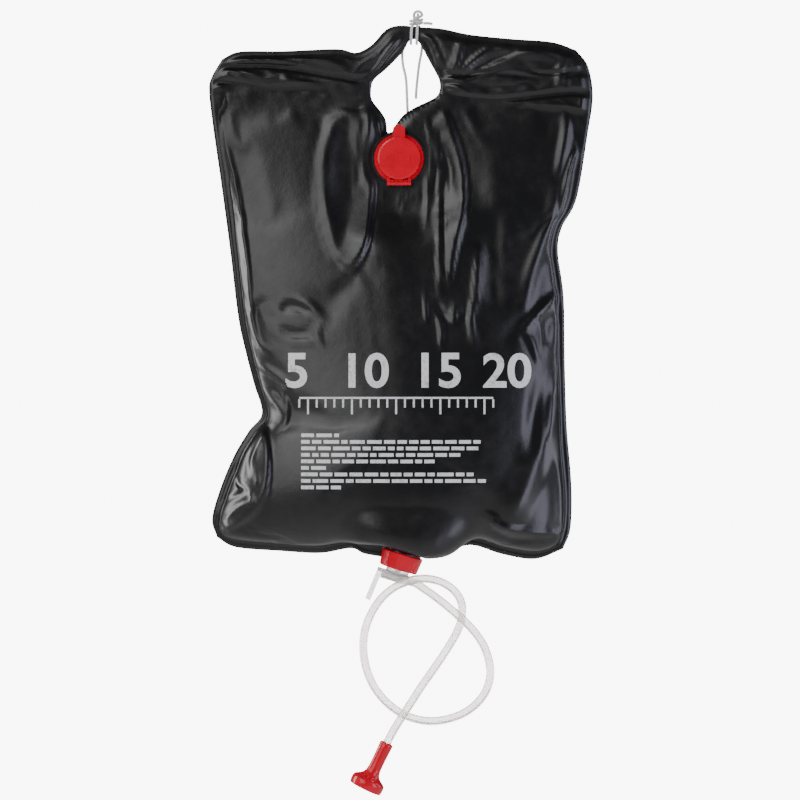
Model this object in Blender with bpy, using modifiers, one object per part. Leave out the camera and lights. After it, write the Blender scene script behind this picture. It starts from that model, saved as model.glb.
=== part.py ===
"""Camp shower bag: two welded PVC sheets with a hand hole, a filler with a flip cap, a screwed outlet
with a quarter-turn tap, a clear hose with a shower head, and a white cord that it hangs on.

Metres, +Z up, and the front faces -Y. The origin is the top of the cord's hanging loop. Each sheet is a
grid laid into the bag's outline by a Coons patch, swelled by a depth formula and folded along a few
lines, then given its thickness. The fittings are turned profiles in the frames of the filler, the outlet
and the head.
"""

import math

import bmesh
import bpy
import numpy as np
from mathutils import Matrix, Vector

# The bag's driving sizes
bag_width = 0.440
bag_height = 0.612
bag_top_drop = 0.0172
bag_middle_x = -0.0195
front_depth = 0.060
back_depth = 0.050
sheet_thickness = 0.0005
seam_width = 0.010
hem_puff = 0.003

# Clearances and the overrun of every cut
touch_gap = 0.0003
running_gap = 0.0002
cap_gap = 0.0006
cut_overrun = 0.010
merge_distance = 0.00005

# The hand hole and its weld
hole_width = 0.0787
hole_height = 0.1060
hole_left_share = 0.4227
hole_top_share = 0.0296
hole_weld = 0.005
hole_reach = 0.085

# The filler on the front sheet
filler_across_share = 0.4948
filler_below_hole = 0.0010
filler_pad_depth = 0.0035
filler_flat_margin = 0.0153
filler_blend = 0.056
filler_flange_margin = 0.0002
filler_flange_thickness = 0.0013
filler_bore_radius = 0.0170
filler_neck_wall = 0.0030
filler_neck_height = 0.0080
weld_ring_width = 0.0032
weld_ring_thickness = 0.0009
seal_thickness = 0.0010
cap_wall = 0.0040
cap_top_thickness = 0.0020
cap_dome = 0.0006
cap_dome_share = 0.8
cap_edge_round = 0.0010
cap_foot_gap = 0.0006
tab_width = 0.0142
tab_length = 0.0150
tab_thickness = 0.0020
tab_round_share = 0.8
arrow_size = 0.0100
arrow_height = 0.0005
arrow_place_share = 0.38
arrow_shares = ((-0.45, 0.0), (0.35, -0.4), (0.35, 0.4))
hinge_gap = 0.0009
hinge_rise = 0.0046
hinge_barrel_radius = 0.0028
hinge_width = 0.0275
hinge_ear_width = 0.0044
hinge_ear_offset = 0.0075
hinge_slot_gap = 0.0003
web_height_share = 0.55
pin_radius = 0.0010

# The outlet, in a frame whose Z runs up its tilted neck
outlet_across_share = 0.506
outlet_tilt = math.radians(17)
outlet_forward = 0.027
outlet_flat_margin = 0.006
outlet_blend = 0.024
outlet_flange_rim = 0.0035
outlet_flange_thickness = 0.0012
outlet_bore_radius = 0.0140
outlet_neck_wall = 0.0035
outlet_neck_length = 0.0130
gasket_thickness = 0.0015
tap_flange_thickness = 0.0020
collar_top_gap = 0.0003
collar_top_radius = 0.0240
collar_bottom_radius = 0.0220
collar_lip = 0.0030
collar_round = 0.0012
boss_radius = 0.0132
boss_throat_share = 0.55
barrel_drop = 0.0300
barrel_radius = 0.0055
barrel_bore_radius = 0.0040
barrel_left = 0.0165
barrel_right = 0.0160
waterway_radius = 0.0026
plug_bore_radius = 0.0019
plug_right = 0.0070
seal_groove_radius = 0.0027
seal_wire_radius = 0.00040
seal_places = (-0.0100, 0.0045)
lever_boss_radius = 0.0056
lever_boss_width = 0.0058
lever_length = 0.0335
lever_width = 0.0092
lever_thickness = 0.0060
lever_root_share = 0.8
lever_splay = math.radians(6)

# The hose and the shower head
hose_diameter = 0.0095
hose_lead_share = 0.7
head_tilt = math.radians(26)
head_neck_radius = 0.0078
head_neck_length = 0.0260
head_rose_radius = 0.0193
head_rose_depth = 0.0110
head_length = 0.0570
head_neck_shares = ((0.94, 0.5), (1.02, 1.0), (1.28, 1.2))
head_flare_shares = (0.72, 0.9)
head_wall = 0.0022
head_chamber_depth = 0.0032
rose_thickness = 0.0018
rose_hole_radius = 0.00075
rose_ring_radii = (0.0052, 0.0103, 0.0146)
rose_ring_counts = (6, 12, 16)

# The cord
cord_diameter = 0.0032
knot_radius = 0.0066
knot_bundle_radius = 0.0023
knot_drop = 0.0138
knot_rise = 0.0056
knot_turns = 1.6
knot_end_share = 0.3
inner_loop_share = 0.75
knot_offset = -0.0020
knot_strand_gap = 0.0012
loop_half_width = 0.0046
strand_middle = -0.0048
strand_spread_top = 0.0044
strand_spread_low = 0.0033
strand_rise_share = 0.4
short_end_length = 0.0105
long_tail_route = (
    (-0.0054, 0.0064, -0.0183), (-0.0084, 0.0063, -0.0226), (-0.0140, 0.0064, -0.0320),
    (-0.0178, 0.0064, -0.0470), (-0.0172, 0.0064, -0.0620), (-0.0138, 0.0064, -0.0780),
    (-0.0126, 0.0066, -0.0980), (-0.0119, 0.0080, -0.1160), (-0.0110, 0.0100, -0.1280),
)
short_tail_route = (
    (0.0008, 0.0064, -0.0175), (0.0030, 0.0062, -0.0222), (0.0048, 0.0064, -0.0340),
    (0.0041, 0.0064, -0.0470), (0.0011, 0.0064, -0.0640), (-0.0017, 0.0064, -0.0900),
    (-0.0023, 0.0064, -0.1010),
)

# Fineness of the depth profile and of round pieces
profile_steps = 4000
turn_steps = 28
small_steps = 16

# The bag's outline: across shares of its width from the left, down shares of its height from the top
left_edge_shares = (
    (0.034, 0.064), (0.008, 0.096), (0.000, 0.122), (0.010, 0.189), (0.031, 0.294), (0.055, 0.423),
    (0.076, 0.547), (0.096, 0.614), (0.117, 0.672), (0.138, 0.727), (0.104, 0.760), (0.065, 0.807),
    (0.029, 0.869), (0.008, 0.925), (0.021, 0.959),
)
top_edge_shares = (
    (0.034, 0.064), (0.081, 0.050), (0.195, 0.049), (0.333, 0.045), (0.383, 0.052), (0.424, 0.037),
    (0.461, 0.009), (0.497, 0.001), (0.549, 0.004), (0.607, 0.007), (0.680, 0.018), (0.789, 0.026),
    (0.893, 0.032), (0.956, 0.047),
)
right_edge_shares = (
    (0.956, 0.047), (0.987, 0.077), (1.000, 0.133), (0.987, 0.202), (0.958, 0.324), (0.919, 0.380),
    (0.909, 0.425), (0.924, 0.509), (0.927, 0.635), (0.932, 0.749), (0.943, 0.845), (0.945, 0.904),
    (0.940, 0.949), (0.922, 0.981),
)
bottom_edge_shares = (
    (0.021, 0.959), (0.070, 0.978), (0.185, 0.985), (0.289, 0.989), (0.370, 0.980), (0.409, 0.991),
    (0.497, 0.998), (0.602, 0.991), (0.680, 0.974), (0.763, 0.991), (0.849, 1.000), (0.922, 0.981),
)
# The hand hole's outline: shares of its width from the left and of its height from the top
hole_outline_shares = (
    (0.556, 0.000), (0.677, 0.000), (0.825, 0.193), (0.913, 0.310), (0.985, 0.416), (1.000, 0.512),
    (0.956, 0.597), (0.840, 0.650), (0.658, 0.713), (0.473, 0.800), (0.345, 0.920), (0.290, 1.000),
    (0.235, 0.990), (0.225, 0.920), (0.204, 0.841), (0.119, 0.745), (0.009, 0.639), (0.000, 0.512),
    (0.045, 0.416), (0.194, 0.321), (0.342, 0.214), (0.473, 0.108),
)
# Where the water chamber's top weld lies, as a share of the way down, left and right of the hole
chamber_top_left_share = 0.074
chamber_top_right_share = 0.135
chamber_step_shares = (0.4, 0.6)
hem_row_shares = (0.0, 0.14, 0.34, 0.55, 0.78)
hem_puff_shares = (0.0, 0.0, 1.0, 0.0, 1.0)
hem_puff_start = 0.015
hem_puff_full = 0.035
# The grid's columns from the left weld to the middle, which the right half mirrors
column_half_shares = (0.0, 0.03, 0.075, 0.14, 0.21, 0.27, 0.315, 0.35, 0.38, 0.41, 0.44, 0.47, 0.5)
# The grid's rows: shares of the way down the chamber to where it is fullest, and below that the shares
# of its full depth that it still has. Towards the side welds the lower rows spread out evenly
row_spread_share = 0.3
upper_row_shares = (
    0.0, 0.035, 0.07, 0.095, 0.12, 0.145, 0.17, 0.195, 0.22, 0.25, 0.29, 0.34, 0.40, 0.47, 0.54, 0.60,
    0.645, 0.68, 0.715, 0.75, 0.80,
)
lower_depth_shares = (0.985, 0.94, 0.87, 0.78, 0.68, 0.57, 0.45, 0.33, 0.20, 0.11)
# The sheets' swell across and down: slack at the top and blunt at the bottom
side_fullness_power = 0.42
top_slackness_power = 1.2
bottom_bluntness_power = 6.0
bottom_fullness_power = 0.30

# The main folds: height as a share of the fold height, below zero for a hollow, half-width as a share of
# the fold half-width, and the line in shares of the bag's width and height
fold_height = 0.0065
fold_half_width = 0.022
fold_limit_share = 0.55
fold_end_power = 0.6
front_fold_shares = (
    (1.0, 0.9, ((0.408, 0.180), (0.399, 0.253), (0.392, 0.318), (0.378, 0.393), (0.362, 0.462))),
    (-0.9, 0.8, ((0.367, 0.180), (0.335, 0.233), (0.322, 0.299), (0.324, 0.364), (0.335, 0.429))),
    (0.5, 0.9, ((0.322, 0.168), (0.281, 0.225), (0.262, 0.299), (0.267, 0.380), (0.299, 0.454))),
    (1.0, 0.8, ((0.599, 0.161), (0.626, 0.217), (0.647, 0.282), (0.653, 0.348), (0.617, 0.503))),
    (-0.8, 0.8, ((0.653, 0.180), (0.685, 0.253), (0.699, 0.331), (0.690, 0.429))),
    (0.5, 1.0, ((0.738, 0.168), (0.772, 0.242), (0.776, 0.323))),
    (0.5, 1.0, ((0.135, 0.201), (0.165, 0.290), (0.199, 0.393))),
    (0.5, 1.0, ((0.897, 0.307), (0.874, 0.389), (0.835, 0.470))),
    (0.6, 0.7, ((0.112, 0.626), (0.181, 0.645), (0.272, 0.666))),
    (-0.8, 0.8, ((0.124, 0.666), (0.181, 0.688), (0.260, 0.704))),
    (0.6, 0.8, ((0.192, 0.740), (0.203, 0.822), (0.169, 0.887))),
    (-0.8, 0.8, ((0.144, 0.772), (0.135, 0.838), (0.090, 0.895))),
    (-0.8, 0.8, ((0.908, 0.547), (0.851, 0.568), (0.783, 0.580))),
)
back_fold_shares = (
    (0.9, 0.8, ((0.390, 0.176), (0.358, 0.274), (0.335, 0.380), (0.328, 0.487))),
    (-0.8, 0.8, ((0.431, 0.193), (0.412, 0.299), (0.403, 0.429))),
    (0.6, 0.7, ((0.467, 0.217), (0.469, 0.315), (0.458, 0.446))),
    (0.9, 0.8, ((0.572, 0.176), (0.612, 0.282), (0.628, 0.397), (0.608, 0.511))),
    (-0.8, 0.8, ((0.626, 0.168), (0.674, 0.266), (0.697, 0.380))),
    (0.6, 0.8, ((0.690, 0.155), (0.744, 0.233), (0.781, 0.340))),
    (0.5, 1.0, ((0.135, 0.184), (0.169, 0.299), (0.192, 0.413))),
    (0.5, 1.0, ((0.885, 0.201), (0.851, 0.315), (0.835, 0.429))),
    (-0.8, 0.8, ((0.122, 0.658), (0.199, 0.691), (0.283, 0.707))),
    (-0.8, 0.8, ((0.908, 0.557), (0.862, 0.580), (0.794, 0.601))),
    (-0.8, 0.8, ((0.135, 0.772), (0.144, 0.838), (0.099, 0.890))),
)

# The hose's route from the tap to the head: across, forward of the barrel and down from the outlet
hose_route = (
    (0.0230, 0.0010, 0.0425), (0.0385, -0.0005, 0.0535), (0.0530, -0.0035, 0.0650),
    (0.0670, -0.0060, 0.0770), (0.0800, -0.0050, 0.0905), (0.0905, -0.0025, 0.1055),
    (0.0970, 0.0000, 0.1230), (0.0990, 0.0020, 0.1410), (0.0945, 0.0035, 0.1590), (0.0835, 0.0045, 0.1740),
    (0.0685, 0.0055, 0.1850), (0.0510, 0.0060, 0.1915), (0.0325, 0.0060, 0.1940), (0.0140, 0.0060, 0.1915),
    (-0.0030, 0.0055, 0.1845), (-0.0180, 0.0045, 0.1735), (-0.0305, 0.0035, 0.1590),
    (-0.0390, 0.0015, 0.1430), (-0.0440, -0.0005, 0.1250), (-0.0455, -0.0025, 0.1065),
    (-0.0430, -0.0050, 0.0880), (-0.0365, -0.0070, 0.0710), (-0.0265, -0.0095, 0.0550),
    (-0.0130, -0.0110, 0.0425), (0.0035, -0.0120, 0.0340), (0.0215, -0.0115, 0.0305),
    (0.0400, -0.0090, 0.0335), (0.0555, -0.0040, 0.0425), (0.0655, 0.0015, 0.0565),
    (0.0670, 0.0060, 0.0745), (0.0615, 0.0065, 0.0920), (0.0520, 0.0040, 0.1085), (0.0420, 0.0005, 0.1235),
    (0.0315, -0.0025, 0.1385), (0.0205, -0.0045, 0.1540), (0.0105, -0.0055, 0.1695),
    (0.0005, -0.0060, 0.1850), (-0.0095, -0.0060, 0.2010), (-0.0185, -0.0060, 0.2175),
)
hose_points = 66


def clear_scene():
    """Take everything out of the scene the file opens with."""
    for old in list(bpy.data.objects):
        bpy.data.objects.remove(old, do_unlink=True)
    for name in ("camp_shower_bag", "cutters"):
        collection = bpy.data.collections.new(name)
        bpy.context.scene.collection.children.link(collection)


def finish(name, colour, roughness, metallic=0.0, alpha=1.0, coat=0.0):
    """A material with a Principled shader."""
    material = bpy.data.materials.new(name)
    material.use_nodes = True
    shader = material.node_tree.nodes["Principled BSDF"]
    shader.inputs["Base Color"].default_value = (*colour, 1.0)
    shader.inputs["Roughness"].default_value = roughness
    shader.inputs["Metallic"].default_value = metallic
    shader.inputs["Alpha"].default_value = alpha
    shader.inputs["Coat Weight"].default_value = coat
    return material


def place(name, mesh, material, parent=None, cutter=False):
    """Put a mesh in its collection as an object, in its parent's frame."""
    body = bpy.data.objects.new(name, mesh)
    bpy.data.collections["cutters" if cutter else "camp_shower_bag"].objects.link(body)
    body.parent = parent
    if cutter:
        body.hide_render = True
        body.display_type = "WIRE"
    else:
        body.data.materials.append(material)
    return body


def frame_at(name, location, tilt=(0.0, 0.0, 0.0), parent=None):
    """An empty that pieces are built on."""
    empty = bpy.data.objects.new(name, None)
    bpy.data.collections["camp_shower_bag"].objects.link(empty)
    empty.location = location
    empty.rotation_euler = tilt
    empty.parent = parent
    return empty


def turned(name, profile, steps, material, parent=None, ring=False, cutter=False):
    """Turn a profile of (radius, height) points, which runs down its outer side, about Z."""
    mesh = bpy.data.meshes.new(name)
    edges = [(i, i + 1) for i in range(len(profile) - 1)]
    if ring:
        edges.append((len(profile) - 1, 0))
    mesh.from_pydata([(radius, 0.0, height) for radius, height in profile], edges, [])
    body = place(name, mesh, material, parent, cutter)
    screw = body.modifiers.new("Turn", "SCREW")
    screw.steps = steps
    screw.render_steps = steps
    screw.use_merge_vertices = True
    screw.merge_threshold = merge_distance
    return body


def rod(name, radius, start, end, steps, parent, cutter=True, material=None):
    """A round bar from one point to another."""
    start, end = Vector(start), Vector(end)
    along = end - start
    mesh = bpy.data.meshes.new(name)
    bar = bmesh.new()
    bmesh.ops.create_cone(
        bar, cap_ends=True, segments=steps, radius1=radius, radius2=radius, depth=along.length,
        matrix=Matrix.Translation((start + end) / 2) @ along.to_track_quat("Z", "Y").to_matrix().to_4x4(),
    )
    bar.to_mesh(mesh)
    bar.free()
    return place(name, mesh, material, parent, cutter)


def block(name, low, high, parent, cutter=True, material=None):
    """A box between two corners."""
    low, high = Vector(low), Vector(high)
    mesh = bpy.data.meshes.new(name)
    box = bmesh.new()
    size = high - low
    bmesh.ops.create_cube(
        box, size=1.0, matrix=Matrix.Translation((low + high) / 2) @ Matrix.Diagonal((*size, 1.0))
    )
    box.to_mesh(mesh)
    box.free()
    return place(name, mesh, material, parent, cutter)


def joined(body, other, operation="UNION"):
    """Join another body to this one, or cut it out of this one."""
    step = body.modifiers.new(other.name, "BOOLEAN")
    step.operation = operation
    step.solver = "EXACT"
    step.object = other


def cut(body, other):
    joined(body, other, "DIFFERENCE")


def smooth_line(points, per_span, cyclic=False):
    """Points of a Catmull-Rom curve through the points given."""
    points = [np.array(p, float) for p in points]
    count = len(points)
    spans = count if cyclic else count - 1
    line = []
    for i in range(spans):
        if cyclic:
            a, b, c, d = (points[(i + k) % count] for k in (-1, 0, 1, 2))
        else:
            b, c = points[i], points[i + 1]
            a = points[i - 1] if i > 0 else 2 * b - c
            d = points[i + 2] if i + 2 < count else 2 * c - b
        for k in range(per_span):
            u = k / per_span
            line.append(
                b + (c - a) * u / 2 + (2 * a - 5 * b + 4 * c - d) * u**2 / 2
                + (3 * b - a - 3 * c + d) * u**3 / 2
            )
    if not cyclic:
        line.append(points[-1])
    return np.array(line)


def spaced(line, shares):
    """Points at these shares of a line's length."""
    steps = np.linalg.norm(np.diff(line, axis=0), axis=1)
    along = np.concatenate([[0.0], np.cumsum(steps)])
    wanted = np.asarray(shares) * along[-1]
    return np.stack([np.interp(wanted, along, line[:, k]) for k in range(line.shape[1])], axis=-1)


def eased(value, low, high):
    """0 below low, 1 above high, and a smooth step between."""
    u = np.clip((value - low) / (high - low), 0.0, 1.0)
    return u * u * (3 - 2 * u)


bag_left = bag_middle_x - bag_width / 2
bag_top = -bag_top_drop


def on_bag(across, down):
    """The place in X and Z of a share of the bag's width and height."""
    return bag_left + across * bag_width, bag_top - down * bag_height


hole_left, hole_top = on_bag(hole_left_share, hole_top_share)
filler_neck_radius = filler_bore_radius + filler_neck_wall
cap_radius = filler_neck_radius + cap_gap + cap_wall
hinge_drop = cap_radius + hinge_gap + hinge_barrel_radius
filler_flange_radius = hinge_drop + filler_flange_margin
filler_flat_radius = filler_flange_radius + weld_ring_width + filler_flat_margin
filler_x = bag_left + filler_across_share * bag_width
filler_z = hole_top - hole_height - filler_below_hole - filler_flange_radius
outlet_neck_radius = outlet_bore_radius + outlet_neck_wall
outlet_flange_radius = outlet_neck_radius + outlet_flange_rim
outlet_flat_radius = outlet_flange_radius + outlet_flat_margin
outlet_x, outlet_z = on_bag(outlet_across_share, 1.0)
outlet_z += seam_width
outlet_place = Vector((outlet_x, -outlet_forward, outlet_z))
outlet_seat = outlet_place - Vector((0.0, 0.0, touch_gap / 2 + sheet_thickness / math.cos(outlet_tilt)))


def hole_outline(per_span):
    """The hand hole's outline in X and Z."""
    shares = smooth_line(hole_outline_shares, per_span, cyclic=True)
    return np.stack([hole_left + shares[:, 0] * hole_width, hole_top - shares[:, 1] * hole_height], axis=1)


def depth_down(share):
    """How deep the water chamber is at a share of the way down it, before its greatest depth is made 1."""
    return share**top_slackness_power * (1 - share**bottom_bluntness_power) ** bottom_fullness_power


fullest_share = (
    top_slackness_power / (top_slackness_power + bottom_bluntness_power * bottom_fullness_power)
) ** (1 / bottom_bluntness_power)


def grid_shares():
    """The grid's column shares, and its rows as shares down each column."""
    side = seam_width / bag_width
    foot = seam_width / bag_height
    half = np.array(column_half_shares)
    inner = side + (1 - 2 * side) * np.concatenate([half, 1 - half[-2::-1]])
    across = np.concatenate([[0.0], inner, [1.0]])
    step = eased(across, *chamber_step_shares)
    top = chamber_top_left_share + (chamber_top_right_share - chamber_top_left_share) * step
    below = np.linspace(1.0, fullest_share, profile_steps)
    lower = np.interp(lower_depth_shares, depth_down(below) / depth_down(fullest_share), below)
    even = np.linspace(fullest_share, 1.0, len(lower) + 2)[1:-1]
    inward = eased(np.minimum(across, 1 - across), 0.0, row_spread_share)
    lower = even[:, None] + inward * (lower - even)[:, None]
    hem = [top * share for share in hem_row_shares]
    chamber = [top + (1 - foot - top) * share for share in (*upper_row_shares, *lower, 1.0)]
    down = np.array(hem + chamber + [np.ones_like(across)])
    return np.tile(across, (len(down), 1)), down, top


def laid_out(across, down):
    """Lay the grid's shares into the bag's outline, as a Coons patch between its four edges."""
    edges = (left_edge_shares, right_edge_shares, top_edge_shares, bottom_edge_shares)
    left, right, top, bottom = (smooth_line(edge, 8) for edge in edges)
    s, t = across[..., None], down[..., None]
    corners = (
        (1 - s) * (1 - t) * top[0] + s * (1 - t) * top[-1] + (1 - s) * t * bottom[0] + s * t * bottom[-1]
    )
    shares = (
        (1 - s) * spaced(left, down) + s * spaced(right, down)
        + (1 - t) * spaced(top, across) + t * spaced(bottom, across) - corners
    )
    return on_bag(shares[..., 0], shares[..., 1])


def to_line(x, z, line):
    """How far each place is from a line, and how far along the line its nearest point is, from 0 to 1."""
    nearest = np.full(x.shape, np.inf)
    share = np.zeros(x.shape)
    for i, ((ax, az), (bx, bz)) in enumerate(zip(line[:-1], line[1:])):
        dx, dz = bx - ax, bz - az
        u = np.clip(((x - ax) * dx + (z - az) * dz) / (dx * dx + dz * dz), 0.0, 1.0)
        away = np.hypot(x - ax - u * dx, z - az - u * dz)
        share = np.where(away < nearest, (i + u) / (len(line) - 1), share)
        nearest = np.minimum(nearest, away)
    return nearest, share


def from_hole(x, z):
    """How far each place is outside the hand hole, in metres; 0 within it."""
    line = hole_outline(2)
    inside = np.zeros(x.shape, bool)
    for (ax, az), (bx, bz) in zip(line, np.roll(line, -1, axis=0)):
        crosses = (az > z) != (bz > z)
        inside ^= crosses & (x < ax + (z - az) / (bz - az if bz != az else 1.0) * (bx - ax))
    return np.where(inside, 0.0, to_line(x, z, np.vstack([line, line[:1]]))[0])


def fullness(across, down, top, x, z):
    """How far the sheet swells at each grid point, as a share of its depth, and its swell in the hems."""
    side = seam_width / bag_width
    foot = seam_width / bag_height
    s = np.clip((across - side) / (1 - 2 * side), 0.0, 1.0)
    wide = (1 - (2 * s - 1) ** 2) ** side_fullness_power
    g = np.clip((down - top) / (1 - foot - top), 0.0, 1.0)
    tall = depth_down(g) / depth_down(fullest_share)
    clear = from_hole(x, z)
    relief = np.sin(math.pi / 2 * np.clip((clear - hole_weld) / hole_reach, 0.0, 1.0))
    puff = np.zeros_like(down)
    for row, share in enumerate(hem_puff_shares):
        puff[row] = share * hem_puff * wide[row] * eased(clear[row], hem_puff_start, hem_puff_full)
    return wide * tall * relief, puff


def folds(x, z, fold_shares, swell):
    """How far the main folds lift the sheet at each grid point; a hollow stays well within the swell."""
    lift = np.zeros(x.shape)
    for height_share, width_share, line_shares in fold_shares:
        line = smooth_line([on_bag(across, down) for across, down in line_shares], 4)
        away, along = to_line(x, z, line)
        near = 1 - eased(away, 0.0, width_share * fold_half_width)
        lift += height_share * fold_height * near * np.sin(math.pi * along) ** fold_end_power
    return np.clip(lift, -fold_limit_share * swell, fold_limit_share * swell)


def pressed_flat(points):
    """Flatten the front sheet where the filler and the outlet are welded on."""
    x, y, z = points[..., 0], points[..., 1], points[..., 2]
    away = np.hypot(x - filler_x, z - filler_z)
    flat = 1 - eased(away, filler_flat_radius, filler_flat_radius + filler_blend)
    welded = eased(from_hole(x, z), hole_weld / 2, 2 * hole_weld)
    y += flat * welded * (-filler_pad_depth - y)
    middle = y.shape[1] // 2
    fullest = int(np.argmin(y[:, middle]))
    seat_z = np.interp(-outlet_forward, y[fullest:-1, middle], z[fullest:-1, middle])
    seat = np.array([outlet_x, -outlet_forward, seat_z])
    away = np.linalg.norm(points - seat, axis=-1)
    flat = 1 - eased(away, outlet_flat_radius, outlet_flat_radius + outlet_blend)
    flat[-2:] = 0.0
    ahead = np.sign(seat[1] - y) * np.hypot(y - seat[1], z - seat[2])
    level = outlet_z - math.tan(outlet_tilt) * (x - outlet_x)
    target = np.stack([x, -outlet_forward - ahead, level], axis=-1)
    points += flat[..., None] * (target - points)
    return points


def sheet(name, depth, facing, fold_shares, material):
    """One of the bag's two sheets. It faces -Y where facing is -1, and +Y where it is 1."""
    across, down, top = grid_shares()
    x, z = laid_out(across, down)
    swell, puff = fullness(across, down, top, x, z)
    swell = depth * swell
    points = np.stack([x, facing * (swell + puff + folds(x, z, fold_shares, swell)), z], axis=-1)
    if facing < 0:
        points = pressed_flat(points)
    points[..., 1] += facing * touch_gap / 2
    rows, cols = x.shape
    mesh = bpy.data.meshes.new(name)
    grid = bmesh.new()
    corners = [[grid.verts.new(points[i, j]) for j in range(cols)] for i in range(rows)]
    for i in range(rows - 1):
        for j in range(cols - 1):
            around = (corners[i][j], corners[i + 1][j], corners[i + 1][j + 1], corners[i][j + 1])
            grid.faces.new(around if facing < 0 else around[::-1])
    grid.to_mesh(mesh)
    grid.free()
    mesh.shade_smooth()
    body = place(name, mesh, material)
    skin = body.modifiers.new("Skin", "SOLIDIFY")
    skin.thickness = sheet_thickness
    skin.offset = 1.0
    return body


def hole_cutter():
    """The hand hole's outline as a block through both sheets."""
    curve = bpy.data.curves.new("hand_hole", "CURVE")
    curve.dimensions = "2D"
    curve.fill_mode = "BOTH"
    curve.extrude = cut_overrun
    line = hole_outline(2)
    spline = curve.splines.new("POLY")
    spline.points.add(len(line) - 1)
    for point, (x, z) in zip(spline.points, line):
        point.co = (x, z, 0.0, 1.0)
    spline.use_cyclic_u = True
    guide = bpy.data.objects.new("hand_hole", curve)
    bpy.data.collections["cutters"].objects.link(guide)
    guide.rotation_euler = (math.pi / 2, 0.0, 0.0)
    return as_mesh(guide, None, cutter=True)


def as_mesh(guide, material, cutter=False):
    """Turn a curve object into a mesh object of the same name, with its caps welded."""
    bpy.context.view_layer.update()
    graph = bpy.context.evaluated_depsgraph_get()
    mesh = bpy.data.meshes.new_from_object(guide.evaluated_get(graph))
    welded = bmesh.new()
    welded.from_mesh(mesh)
    bmesh.ops.remove_doubles(welded, verts=welded.verts, dist=merge_distance)
    bmesh.ops.recalc_face_normals(welded, faces=welded.faces)
    welded.to_mesh(mesh)
    welded.free()
    name, world = guide.name, guide.matrix_world.copy()
    bpy.data.objects.remove(guide)
    mesh.materials.clear()
    body = place(name, mesh, material, cutter=cutter)
    body.matrix_world = world
    return body


def tube(name, points, diameter, material, fineness=2):
    """A cord or hose: a poly spline with a round bevel and filled caps."""
    curve = bpy.data.curves.new(name, "CURVE")
    curve.dimensions = "3D"
    curve.bevel_depth = diameter / 2
    curve.bevel_resolution = fineness
    curve.use_fill_caps = True
    spline = curve.splines.new("POLY")
    spline.points.add(len(points) - 1)
    for point, at in zip(spline.points, points):
        point.co = (*at, 1.0)
    guide = bpy.data.objects.new(name, curve)
    bpy.data.collections["camp_shower_bag"].objects.link(guide)
    return as_mesh(guide, material)


def cut_hand_hole(front, back):
    """The hand hole, through both sheets."""
    hole = hole_cutter()
    cut(front, hole)
    cut(back, hole)


def make_filler(front, red, pvc, rubber, steel):
    """The filler: a flanged neck on the front sheet, its weld ring, and the flip cap on its pin."""
    seat = frame_at(
        "filler_frame", (filler_x, -filler_pad_depth - touch_gap / 2 - sheet_thickness, filler_z),
        (math.pi / 2, 0.0, 0.0),
    )
    cut(front, rod("filler_bore", filler_bore_radius, (0, 0, -cut_overrun), (0, 0, cut_overrun),
                   turn_steps, seat))
    flange_top = touch_gap + filler_flange_thickness
    neck = turned(
        "filler_neck",
        (
            (filler_bore_radius, filler_neck_height), (filler_neck_radius, filler_neck_height),
            (filler_neck_radius, flange_top), (filler_flange_radius, flange_top),
            (filler_flange_radius, touch_gap), (filler_bore_radius, touch_gap),
        ),
        turn_steps, red, seat, ring=True,
    )
    add_ears(neck, seat, flange_top)
    ring_low, ring_high = touch_gap, touch_gap + weld_ring_thickness
    ring_in = filler_flange_radius + touch_gap
    ring_out = ring_in + weld_ring_width
    turned(
        "filler_weld_ring",
        (
            (ring_in, ring_high), (ring_out - weld_ring_thickness, ring_high), (ring_out, ring_low),
            (ring_in, ring_low),
        ),
        turn_steps, pvc, seat, ring=True,
    )
    hinge = frame_at("filler_cap_hinge", (0.0, -hinge_drop, hinge_rise), parent=seat)
    make_cap(hinge, red)
    seal_low = filler_neck_height + touch_gap - hinge_rise
    seal = turned(
        "filler_seal",
        (
            (filler_bore_radius, seal_low + seal_thickness),
            (filler_neck_radius, seal_low + seal_thickness),
            (filler_neck_radius, seal_low), (filler_bore_radius, seal_low),
        ),
        turn_steps, rubber, hinge, ring=True,
    )
    seal.location = (0.0, hinge_drop, 0.0)
    half = hinge_width / 2 - touch_gap
    rod("filler_hinge_pin", pin_radius, (-half, -hinge_drop, hinge_rise), (half, -hinge_drop, hinge_rise),
        small_steps, seat, cutter=False, material=steel)


def add_ears(neck, seat, flange_top):
    """Two ears on the flange, bored for the hinge pin."""
    inner_x = hinge_ear_offset - hinge_ear_width / 2
    outer_x = hinge_ear_offset + hinge_ear_width / 2
    foot_near = -math.sqrt(cap_radius**2 - inner_x**2) - hinge_slot_gap
    foot_far = -math.sqrt((filler_flange_radius - touch_gap) ** 2 - outer_x**2)
    for side in (-1, 1):
        low_x = side * hinge_ear_offset - hinge_ear_width / 2
        high_x = low_x + hinge_ear_width
        eye = rod(
            f"ear_eye_{side}", hinge_barrel_radius, (low_x, -hinge_drop, hinge_rise),
            (high_x, -hinge_drop, hinge_rise), small_steps, seat,
        )
        foot = block(
            f"ear_foot_{side}", (low_x, foot_far, flange_top - filler_flange_thickness / 2),
            (high_x, foot_near, hinge_rise + hinge_barrel_radius / 2), seat,
        )
        joined(neck, foot)
        joined(neck, eye)
    drill = rod(
        "ear_drill", pin_radius + running_gap, (-hinge_width, -hinge_drop, hinge_rise),
        (hinge_width, -hinge_drop, hinge_rise), small_steps, seat,
    )
    cut(neck, drill)


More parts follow.
